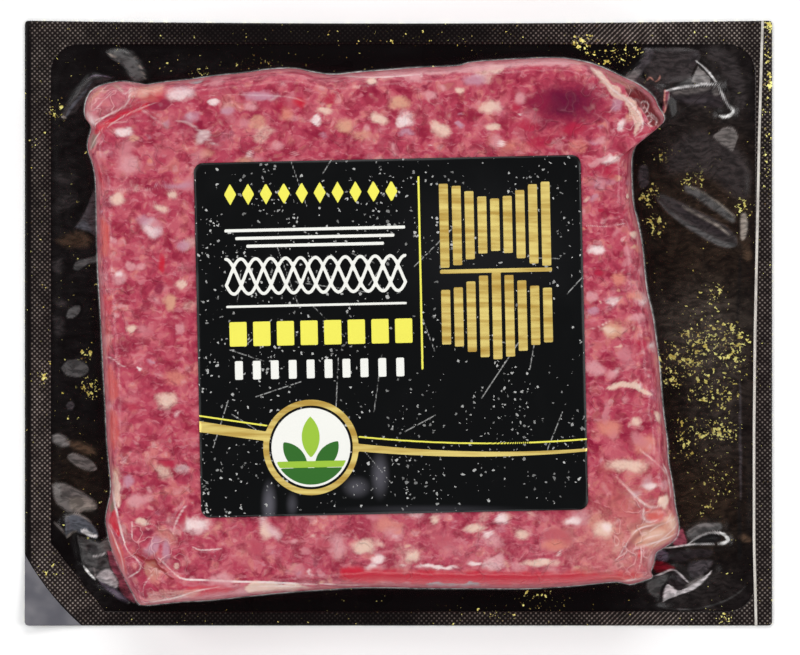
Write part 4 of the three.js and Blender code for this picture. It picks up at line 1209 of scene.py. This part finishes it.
def use_group(nodes, tree, inputs):
    """Places a node group and fills its named inputs."""
    made = nodes.add("ShaderNodeGroup", node_tree=tree)
    for key, value in inputs.items():
        if isinstance(value, bpy.types.NodeSocket):
            nodes.tree.links.new(value, made.inputs[key])
        else:
            made.inputs[key].default_value = value
    return made.outputs


def printed(nodes, place):
    """The web's print at a place, by the specks and the distance from the white line held there."""
    values = {"Place": place, "Share": nodes.attribute("specks"), "Edge": nodes.attribute("print_edge")}
    return use_group(nodes, PRINT, values)


# Colours of the mince's cells: where a cell's random value passes from one to the next
MEAT = [
    (0.1, 0.3, srgb(134, 20, 52), srgb(170, 60, 82)),
    (0.42, 0.58, None, srgb(190, 96, 108)),
    (0.68, 0.78, None, srgb(200, 120, 116)),
    (0.86, 0.94, None, srgb(210, 154, 154)),
]


def mince_material():
    """Red mince under tight film: a mosaic of soft warped cells from crimson to pale pink, worn by
    noise, and over it the fat, the seen colours with painted shade and reflections, and the painted
    highlight lines that the slab's paint holds, then painted highlights along the film's fine crinkles."""
    material, nodes, output = finish_of("minced meat")
    place = nodes.millimetres()
    bent = nodes.warped(nodes.warped(place, 0.16, 4.0), 0.6, 1.6)
    meat = None
    for scale, weight in [(0.34, 1.0), (0.75, 0.4)]:
        values = {"Vector": bent, "Scale": scale, "Smoothness": 1.0}
        made = nodes.add("ShaderNodeTexVoronoi", values, feature="SMOOTH_F1")
        pick = nodes.add("ShaderNodeSeparateColor", {"Color": made.outputs["Color"]}).outputs[0]
        layer = None
        for low, high, first, following in MEAT:
            layer = nodes.mix(nodes.ramp(pick, low, high), first or layer, following)
        meat = layer if meat is None else nodes.mix(weight, meat, layer)
    deep = nodes.noise(nodes.vector("ADD", bent, (31.0, 7.0, 0.0)), 0.3, 3.0)
    meat = nodes.mix(nodes.ramp(deep, 0.5, 0.66, 0.0, 0.7), meat, srgb(132, 16, 48))
    drawn = nodes.noise(nodes.vector("MULTIPLY", bent, (0.32, 1.0, 1.0)), 0.8, 2.0)
    meat = nodes.mix(nodes.ramp(drawn, 0.56, 0.7, 0.0, 0.5), meat, srgb(200, 124, 134))
    colour, cover = nodes.painted()
    fine = nodes.math("SUBTRACT", nodes.noise(place, 1.5, 3.0), 0.5)
    cover_worn = nodes.ramp(nodes.math("MULTIPLY_ADD", fine, 0.5, cover), 0.04, 1.0)
    colour = nodes.mix(cover_worn, meat, colour)
    film = use_group(nodes, CRINKLE, {"Place": place, "Size": 0.2})
    # Pale painted highlights along the thin ridges of the film's crinkles
    crinkle_highlights = nodes.math("MULTIPLY", film["Ridges"], nodes.attribute("crinkle_glints"))
    colour = nodes.mix(nodes.math("MULTIPLY", crinkle_highlights, 0.8), colour, srgb(238, 196, 196))
    bumps = {"Height": film["Height"], "Distance": 0.6 * MM, "Strength": 0.6}
    bumps["Normal"] = nodes.bump(nodes.attribute("relief"), 0.15)
    lifted = nodes.add("ShaderNodeBump", bumps).outputs["Normal"]
    nodes.shade(
        output,
        {
            "Base Color": colour,
            "Roughness": 0.5,
            "Subsurface Weight": 0.2,
            "Subsurface Radius": (1.0, 0.35, 0.3),
            "Subsurface Scale": 1.0 * MM,
            "Specular IOR Level": 0.12,
            "Coat Weight": 0.4,
            "Coat Roughness": 0.16,
            "Normal": lifted,
        },
    )
    return material


def web_material():
    """The printed web: near black and glossy, with its specks and white line."""
    material, nodes, output = finish_of("web")
    place = nodes.millimetres()
    inked = printed(nodes, place)
    uneven = nodes.noise(place, 0.05, 3.0)
    nodes.shade(
        output,
        {
            "Base Color": inked["Color"],
            "Roughness": nodes.ramp(uneven, 0.3, 0.7, 0.22, 0.36),
            "Specular IOR Level": 0.05,
            "Normal": nodes.bump(uneven, 0.3),
        },
    )
    return material


def weld_material():
    """The weld: the same print pressed with a fine slanting knurl, whose crowns carry painted brown and
    silver glints.
    """
    material, nodes, output = finish_of("weld")
    place = nodes.millimetres()
    inked = printed(nodes, place)
    parts = nodes.add("ShaderNodeSeparateXYZ", {0: place}).outputs
    turns = 2 * math.pi / KNURL_PITCH
    slants = [nodes.math(way, parts[0], parts[1]) for way in ("SUBTRACT", "ADD")]
    rising, falling = (nodes.math("COSINE", nodes.math("MULTIPLY", slant, turns)) for slant in slants)
    dots = nodes.math("MULTIPLY_ADD", nodes.math("ADD", rising, falling), 0.25, 0.5)
    lines = nodes.math("MULTIPLY_ADD", nodes.math("MULTIPLY_ADD", rising, 3.0, falling), 0.125, 0.5)
    crowns = nodes.add("ShaderNodeMix", {0: nodes.attribute("slant"), 2: dots, 3: lines}).outputs[0]
    uneven = nodes.ramp(nodes.noise(place, 0.3, 3.0), 0.3, 0.7, 0.4, 1.0)
    pressed = nodes.math("MULTIPLY", nodes.attribute("knurl"), uneven)
    # Painted glints on the knurl's crowns, brown to silver
    glint = nodes.math("MULTIPLY", nodes.ramp(crowns, 0.56, 0.96), pressed)
    shine = nodes.mix(nodes.noise(place, 0.2), srgb(142, 126, 119), srgb(182, 170, 161))
    ground = nodes.mix(nodes.math("MULTIPLY", pressed, 0.7), inked["Color"], srgb(44, 37, 35))
    ground = nodes.mix(inked["Speck"], ground, inked["Color"])
    colour = nodes.mix(nodes.math("MULTIPLY", glint, 0.8), ground, shine)
    nodes.shade(
        output,
        {
            "Base Color": colour,
            "Roughness": 0.35,
            "Specular IOR Level": 0.15,
            "Normal": nodes.bump(nodes.math("MULTIPLY", crowns, pressed), 0.1),
        },
    )
    return material


def film_material():
    """Clear film: see-through where it lies tight, mirror-like by its angle, and veiled in the colours
    and
    covers that its paint holds: haze, painted reflections, painted shade and painted highlights."""
    material, nodes, output = finish_of("clear film")
    place = nodes.millimetres()
    mirror = nodes.add(
        "ShaderNodeBsdfPrincipled",
        {"Base Color": (0.32, 0.32, 0.325, 1), "Metallic": 1.0, "Roughness": 0.25},
    )
    colour, cover = nodes.painted()
    drawn = nodes.vector("MULTIPLY", nodes.warped(place, 0.15, 6.0), (0.45, 1.3, 1.0))
    streaks = nodes.ramp(nodes.noise(drawn, 0.8, 3.0), 0.34, 0.66)
    uneven = nodes.mix(streaks, (0.5, 0.5, 0.5, 1), (1.3, 1.3, 1.3, 1))
    colour = nodes.mix(1.0, colour, uneven, "MULTIPLY")
    veil = nodes.add(
        "ShaderNodeBsdfPrincipled",
        {"Base Color": colour, "Roughness": 0.4, "Specular IOR Level": 0.1},
    )
    clear = nodes.add("ShaderNodeBsdfTransparent", {"Color": (1, 1, 1, 1)})
    rough = nodes.math("SUBTRACT", nodes.noise(place, 0.35, 2.0), 0.5)
    thin = nodes.math("SUBTRACT", 1.0, cover)
    edge = nodes.math("MULTIPLY", cover, 3.0)
    worn = nodes.math("MULTIPLY", nodes.math("MULTIPLY", rough, thin), edge)
    cloud = nodes.math("ADD", cover, worn, clamp=True)
    veiled = nodes.add("ShaderNodeMixShader", {0: cloud, 1: clear.outputs[0], 2: veil.outputs[0]})
    behind = nodes.add("ShaderNodeNewGeometry").outputs["Backfacing"]
    facing = nodes.add("ShaderNodeFresnel", {"IOR": 1.5}).outputs[0]
    facing = nodes.math("MULTIPLY_ADD", facing, 3.0, -0.08, clamp=True)
    facing = nodes.math("MULTIPLY", facing, nodes.math("SUBTRACT", 1.0, behind))
    shader = nodes.add("ShaderNodeMixShader", {0: facing, 1: veiled.outputs[0], 2: mirror.outputs[0]})
    nodes.tree.links.new(shader.outputs[0], output.inputs["Surface"])
    return material


def flap_material():
    """The loose corner of film: bluish grey and shiny, with slow waves."""
    material, nodes, output = finish_of("peel flap")
    place = nodes.millimetres()
    waves = nodes.noise(place, 0.12, 2.0)
    colour = nodes.mix(nodes.ramp(waves, 0.3, 0.7), srgb(90, 90, 97), srgb(116, 115, 120))
    nodes.shade(
        output,
        {"Base Color": colour, "Roughness": 0.3, "Coat Weight": 0.5, "Normal": nodes.bump(waves, 0.8)},
    )
    return material


def label_material():
    """The label: satin black with worn specks and patches of painted sheen, gold foil, and pale, yellow
    and green print.
    """
    material, nodes, output = finish_of("label print")
    place = nodes.millimetres()

    def ink(name):
        return nodes.ramp(nodes.attribute(name), -0.07, 0.07, 1.0, 0.0)

    bent = nodes.warped(nodes.warped(place, 0.5, 1.5), 1.6, 0.9)
    dust = nodes.cells(bent, 0.95)
    parts = nodes.add("ShaderNodeSeparateColor", {"Color": dust.outputs["Color"]}).outputs
    clumps = nodes.ramp(nodes.noise(place, 0.055, 3.0), 0.36, 0.64, 0.05, 0.62)
    kept = nodes.math("LESS_THAN", parts[0], clumps)
    dot = nodes.math("LESS_THAN", dust.outputs["Distance"], nodes.math("MULTIPLY", parts[1], 0.42))
    strong = nodes.ramp(parts[2], 0.0, 1.0, 0.3, 1.0)
    worn = nodes.math("MULTIPLY", nodes.math("MULTIPLY", kept, dot), strong)
    # Soft pale patches of painted sheen on the black
    colour = nodes.mix(nodes.attribute("painted_sheen"), srgb(11, 12, 13), srgb(118, 116, 126))
    colour = nodes.mix(worn, colour, srgb(178, 178, 176))
    scratch = nodes.ramp(nodes.attribute("scratches"), 0.04, 0.24, 0.75, 0.0)
    broken = nodes.ramp(nodes.noise(place, 1.1, 2.0), 0.36, 0.54)
    colour = nodes.mix(nodes.math("MULTIPLY", scratch, broken), colour, srgb(180, 180, 178))
    sheen = nodes.noise(nodes.vector("MULTIPLY", place, (0.05, 0.6, 1.0)), 1.0, 3.0)
    gold = nodes.mix(nodes.ramp(sheen, 0.3, 0.7), srgb(192, 156, 74), srgb(240, 218, 130))
    foil = ink("gold")
    colour = nodes.mix(foil, colour, gold)
    colour = nodes.mix(ink("white"), colour, srgb(232, 232, 226))
    colour = nodes.mix(ink("yellow"), colour, srgb(232, 226, 92))
    colour = nodes.mix(ink("green"), colour, srgb(52, 104, 44))
    colour = nodes.mix(ink("lime"), colour, srgb(150, 188, 62))
    wave = nodes.noise(place, 0.05, 2.0)
    nodes.shade(
        output,
        {
            "Base Color": colour,
            "Roughness": 0.28,
            "Specular IOR Level": 0.2,
            "Metallic": nodes.math("MULTIPLY", foil, 0.25),
            "Normal": nodes.bump(wave, 1.5),
        },
    )
    return material


def make_mince():
    """The slab: a ringed grid lifted to crown, creases and grain together, times the shoulder's share."""
    x, y, inward, quads, rim = ringed_grid(SLAB_CELLS, slab_reach, MIDDLE, [0, 0.12, 1], [0, 0.6, 1])
    open_part = step(label_margin(x, y), -1, 3)
    grain = 0.22 * noise(x, y, 4.2, 3) + 0.14 * noise(x, y, 2.1, 4) + 0.3 * noise(x, y, 11, 5)
    height = slab_crown(x, y) + creases(x, y) + grain * open_part
    z = WEB_THICK + height * shoulder(inward)
    points, faces = ringed_sheet(x, y, z, quads, rim, WEB_THICK + 0.02)
    paint, relief = paint_slab(x, y, inward)
    # How strongly the crinkles carry painted highlights
    crinkle_glints = np.full(x.shape, 0.06)
    for middle, radii in CRINKLE_GLINT_PATCHES:
        crinkle_glints = np.maximum(crinkle_glints, 0.45 * patch(x, y, middle, radii, 0.4))
    attributes = {"paint": paint, "relief": relief, "crinkle_glints": crinkle_glints}
    piece("mince", points, faces, mince_material(), "mince_slab", attributes)


def make_drawn_film():
    """The film round the slab, in rows from just inside the slab's outline to the cavity's. It lies at
    the highest of the folds and a wall that falls as a square from the slab's side, with its panes'
    lift and a slow noise added, all of it let down by a smooth step before the weld."""
    around, across = FILM_BAND
    angles = ring_angles(around)
    share = np.linspace(0, 1, across)[None, :]
    inner, outer = slab_reach(angles) - 0.5, cavity_reach(angles) - 0.1
    far = inner + (outer - inner) * share
    x = MIDDLE[0] + far * np.cos(angles)
    y = MIDDLE[1] + far * np.sin(angles)
    out = far - slab_reach(angles)
    wall = 2.2 * np.clip(1 - (out + 0.5) / 0.9, 0, 1) ** 2
    to_weld = step(outer - far, 0, 3.5)
    paint, lift = paint_film(x.ravel(), y.ravel(), out.ravel())
    rumple = 0.14 * noise(x, y, 9, 21) + 0.04 * noise(x, y, 4, 22)
    raised = np.maximum(wall, tents(x, y)) + (lift.reshape(x.shape) + rumple + 0.2) * step(out, 0, 3)
    z = WEB_THICK + FILM_GAP + np.maximum(raised * np.maximum(to_weld, 0.02), 0)
    points, faces = ring_band(np.stack([x, y, z], -1), closed=False)
    attributes = {"paint": paint}
    piece("drawn_film", points, faces, film_material(), "film_skirt", attributes, 180)


def make_web():
    """The backing web: a flat ringed grid with its print's places worked out at every point."""
    x, y, _, quads, rim = ringed_grid(WEB_CELLS, web_reach, MIDDLE, [0, 0.14, 1], [0, 0.6, 1])
    z = np.full(x.shape, WEB_THICK)
    points, faces = ringed_sheet(x, y, z, quads, rim, 0.0)
    attributes = {"specks": specks(x, y), "print_edge": print_edge(x, y)}
    piece("web", points, faces, web_material(), "backing_web", attributes)


def make_weld():
    """The weld: a band from the cavity's outline to the pack's edge, raised by a smooth step of the
    distance from its nearer edge, and closed underneath."""
    around, across = WELD_BAND
    angles = np.linspace(-math.pi, math.pi, around, endpoint=False)[:, None]
    share = np.linspace(0, 1, across)[None, :]
    inner, outer = cavity_reach(angles), weld_reach(angles)
    far = inner + (outer - inner) * share
    edge = np.minimum(share, 1 - share) * (outer - inner)
    z = WEB_THICK + FILM_THICK * (0.4 + 0.6 * step(edge, 0, 0.5))
    under = np.hstack([outer, inner])
    far = np.hstack([far, under])
    z = np.hstack([z, np.full(under.shape, WEB_THICK)])
    x = MIDDLE[0] + far * np.cos(angles)
    y = MIDDLE[1] + far * np.sin(angles)
    points, faces = ring_band(np.stack([x, y, z], -1), closed=True)
    x, y = x.ravel(), y.ravel()
    # The knurl level sets the bump and the painted glints together
    knurl, slant = np.full(x.shape, 0.62), np.zeros(x.shape)
    for middle, radii, level in KNURL_AND_GLINT:
        knurl += (level - knurl) * patch(x, y, middle, radii, 0.5)
    for middle, radii in SLANTS:
        slant = np.maximum(slant, patch(x, y, middle, radii, 0.4))
    attributes = {
        "specks": specks(x, y),
        "print_edge": print_edge(x, y),
        "knurl": knurl * step(x, -103.6, -102.8),
        "slant": slant,
    }
    piece("weld", points, faces, weld_material(), "seal_band", attributes)


def make_flap():
    """The peel flap: rows from the pack's corner to the weld's curve, at the share s of the way, raised
    by (1 - s)^1.5 of its lift, with a second face and walls close under it."""
    t = np.linspace(0, 1, FLAP_POINTS)[:, None]
    s = np.linspace(0, 1, FLAP_POINTS)[None, :]
    corner = np.array([PACK["left"], PACK["bottom"]])
    a = corner + [0, PEEL_CUT["side"] - FLAP_INSET]
    b = corner + [PEEL_CUT["foot"] - FLAP_INSET, 0]
    pull = (a + b) / 2 - PEEL_CUT["bow"]
    curve = [(1 - t) ** 2 * b[k] + 2 * t * (1 - t) * pull[k] + t**2 * a[k] for k in (0, 1)]
    x, y = (corner[k] + (curve[k] - corner[k]) * s for k in (0, 1))
    reach_in = np.minimum(1, np.hypot(x - corner[0], y - corner[1]) / 1.0)
    x = x + FLAP_INSET * (1 - reach_in)
    y = y + FLAP_INSET * (1 - reach_in)
    z = WEB_THICK + FILM_THICK + PEEL_LIFT * (1 - s) ** 1.5 + 0 * t
    under = FLAP_POINTS**2
    number = np.arange(under).reshape(FLAP_POINTS, FLAP_POINTS)
    quads = np.stack([number[:-1, :-1], number[:-1, 1:], number[1:, 1:], number[1:, :-1]], -1)
    top = np.column_stack([x.ravel(), y.ravel(), z.ravel()])
    low = top - [0, 0, SHEET_THICK]
    loop = np.concatenate([number[0, :-1], number[:-1, -1], number[-1, :0:-1], number[:0:-1, 0]])
    following = np.roll(loop, -1)
    walls = np.stack([loop, loop + under, following + under, following], -1)
    faces = [quads.reshape(-1, 4), quads.reshape(-1, 4)[:, ::-1] + under, walls]
    piece("flap", np.vstack([top, low]), faces, flap_material(), "peel_flap")


def box_field(u, v, cu, cv, half_u, half_v, corner=0.2):
    """Signed distance to a rectangle with round corners."""
    du, dv = np.abs(u - cu) - half_u + corner, np.abs(v - cv) - half_v + corner
    outside = np.hypot(np.maximum(du, 0), np.maximum(dv, 0))
    return outside + np.minimum(np.maximum(du, dv), 0) - corner


def lozenge_field(u, v, cu, cv, half_u, half_v):
    """Signed distance to a lozenge, near its sides."""
    lean = half_u * half_v / math.hypot(half_u, half_v)
    return (np.abs(u - cu) / half_u + np.abs(v - cv) / half_v - 1) * lean


def leaf_field(u, v, cu, cv, length, width, tilt):
    """Signed distance to a pointed leaf: the part that two equal circles share."""
    turn = math.radians(tilt)
    along = (u - cu) * math.cos(turn) + (v - cv) * math.sin(turn)
    side = (v - cv) * math.cos(turn) - (u - cu) * math.sin(turn)
    radius = (length**2 + width**2) / (4 * width)
    offset = radius - width / 2
    return np.hypot(along, np.abs(side) + offset) - radius


def label_print(u, v):
    """The label's print as signed distances: slatted gold panels, rows of plain shapes, a badge of
    leaves on a curved gold band, and thin lines."""
    union = np.minimum.reduce
    slats = []
    for k in range(9):
        cu = 15.5 + 3.55 * k
        tall = 9.5 + 2.2 * math.cos(k * math.pi / 4)
        slats.append(box_field(u, v, cu, 30.5, 1.25, tall))
        slats.append(box_field(u, v, cu, 5.0, 1.25, 9.8 - 2.2 * math.cos(k * math.pi / 4)))
    slats.append(box_field(u, v, 29.7, 17.7, 15.6, 0.55))
    arc = np.column_stack([np.linspace(-54, 54, 60), np.zeros(60)])
    arc[:, 1] = -24 - 9.5 * np.sin((arc[:, 0] + 54) / 108 * math.pi * 0.62)
    away, share = along_line(u, v, arc)
    band = away - (1.5 - 1.1 * share)
    thin, _ = along_line(u, v, arc + [0, 3.0])
    badge = np.hypot(u + 23.0, v + 30.5)
    ring = np.maximum(badge - 13.3, 11.7 - badge)
    gold = union([*slats, np.maximum(band, 12.9 - badge), ring])
    yellow = [np.maximum(thin - 0.22, 13.6 - badge), box_field(u, v, 8.6, 17.5, 0.28, 27)]
    yellow += [lozenge_field(u, v, -44 + 5.0 * k, 40.5, 1.7, 3.0) for k in range(10)]
    yellow += [box_field(u, v, -42.6 + 6.6 * k, 1.5, 2.4, 3.4, 0.3) for k in range(8)]
    white = [box_field(u, v, -20.6, 9.2, 25.2, 0.32)]
    across = np.linspace(-45.6, 4.4, 161)
    for k in (0, 1, 2):
        wave = np.column_stack([across, 17.6 + 4.9 * np.cos((across + 45.6) * 0.5027 + k * 2.0944)])
        white.append(along_line(u, v, wave, 3)[0] - 0.42)
    white += [box_field(u, v, -20.6, 30.4 - 2.2 * k, 25.2 - 3 * k, 0.42) for k in range(3)]
    white += [box_field(u, v, -42.6 + 5.0 * k, -8.6, 1.1, 2.6, 0.25) for k in range(10)]
    white.append(badge - 11.0)
    green = [leaf_field(u, v, -23.0 + 4.4 * s, -33.0, 10.5, 4.8, 90 - 38 * s) for s in (-1, 1)]
    green.append(np.maximum(badge - 10.4, v + 36.2))
    lime = [leaf_field(u, v, -23.0, -27.6, 11.5, 5.0, 90)]
    lime.append(np.maximum(badge - 10.4, np.abs(v + 35.2) - 0.9))
    rng = np.random.default_rng(8)
    scratches = np.full(u.shape, 9.0)
    for _ in range(SCRATCHES):
        start = rng.uniform([-52, -47], [52, 47])
        heading, length = rng.uniform(0, math.pi), rng.uniform(6, 26)
        end = start + length * np.array([math.cos(heading), math.sin(heading)])
        scratches = np.minimum(scratches, along_line(u, v, np.array([start, end]))[0])
    return {
        "gold": gold,
        "yellow": union(yellow),
        "white": union(white),
        "green": union(green),
        "lime": union(lime),
        "scratches": scratches,
    }


def make_label():
    """The label: a thin sheet with round corners, laid over the slab's crown at an even height, its rim
    let down by a smooth step."""
    half_u, half_v = LABEL["width"] / 2, LABEL["depth"] / 2
    edges = {"left": -half_u, "right": half_u, "top": half_v, "bottom": -half_v}
    reach = reach_of(outline({**edges, "corner": LABEL["corner"], "sag": 0.0}), (0, 0))
    u, v, inward, quads, rim = ringed_grid(LABEL_CELLS, reach, (0, 0), [0, 1], [0, 1])
    turn = math.radians(LABEL["turn"])
    x = LABEL["at"][0] + u * math.cos(turn) - v * math.sin(turn)
    y = LABEL["at"][1] + u * math.sin(turn) + v * math.cos(turn)
    z = WEB_THICK + slab_crown(x, y) + LABEL["lift"] + 0.3 - 0.25 * (1 - step(inward, 0, 0.6))
    points, faces = ringed_sheet(x, y, z, quads, rim, 0)
    points[len(x) : len(x) + len(rim), 2] = z[rim] - SHEET_THICK
    points[-1, 2] = slab_crown(points[-1, 0], points[-1, 1]) + WEB_THICK - 3.0
    attributes = label_print(u, v)
    # Patches of painted sheen
    attributes["painted_sheen"] = np.maximum.reduce([level * patch(x, y, *where) for *where, level in LABEL_SHEEN])
    piece("label_sheet", points, faces, label_material(), "label", attributes)


def light(name, place, size, power):
    """A soft rectangular lamp, its place and size in metres, that looks at the pack."""
    data = bpy.data.lights.new(name, "AREA")
    data.shape = "RECTANGLE"
    data.size, data.size_y = size
    data.energy = power
    obj = bpy.data.objects.new(name, data)
    bpy.context.scene.collection.objects.link(obj)
    obj.location = place
    away = obj.location.normalized()
    obj.rotation_euler = away.to_track_quat("Z", "Y").to_euler()


def make_floor():
    """A wide pale floor under the pack."""
    mesh = bpy.data.meshes.new("floor")
    wide = 3.0
    corners = [(-wide, -wide, 0), (wide, -wide, 0), (wide, wide, 0), (-wide, wide, 0)]
    mesh.from_pydata(corners, [], [(0, 1, 2, 3)])
    material, nodes, output = finish_of("floor")
    shade = nodes.noise(nodes.add("ShaderNodeTexCoord").outputs["Object"], 2.0)
    colour = nodes.mix(shade, (0.93, 0.93, 0.93, 1), (0.95, 0.95, 0.95, 1))
    nodes.shade(output, {"Base Color": colour, "Roughness": 0.8})
    mesh.materials.append(material)
    obj = bpy.data.objects.new("floor", mesh)
    bpy.context.scene.collection.objects.link(obj)


def make_studio():
    """Soft lamps low round the pack, a sky that is bright low down and dim overhead, and a far camera
    that looks straight down."""
    for lamp in LAMPS:
        light(*lamp)
    world = bpy.data.worlds.new("sky")
    world.use_nodes = True
    nodes = Nodes(world.node_tree)
    towards = nodes.add("ShaderNodeTexCoord").outputs["Generated"]
    height = nodes.add("ShaderNodeSeparateXYZ", {0: towards}).outputs[2]
    sky = world.node_tree.nodes["Background"]
    sky.inputs["Color"].default_value = (1, 1, 1, 1)
    world.node_tree.links.new(nodes.ramp(height, 0.35, 0.8, SKY_LOW, SKY_HIGH), sky.inputs["Strength"])
    bpy.context.scene.world = world
    data = bpy.data.cameras.new("camera")
    data.sensor_width = SENSOR
    data.lens = SENSOR * CAMERA_HEIGHT / (PHOTO_SIZE[0] * PHOTO_SCALE)
    data.clip_end = 20
    camera = bpy.data.objects.new("camera", data)
    bpy.context.scene.collection.objects.link(camera)
    middle = on_pack((PHOTO_SIZE[0] / 2, PHOTO_SIZE[1] / 2))[0]
    camera.location = (middle[0] * MM, middle[1] * MM, CAMERA_HEIGHT * MM)
    bpy.context.scene.camera = camera
    bpy.context.scene.view_settings.view_transform = "Standard"


make_studio()
make_floor()
make_web()
make_weld()
make_flap()
make_mince()
make_drawn_film()
make_label()
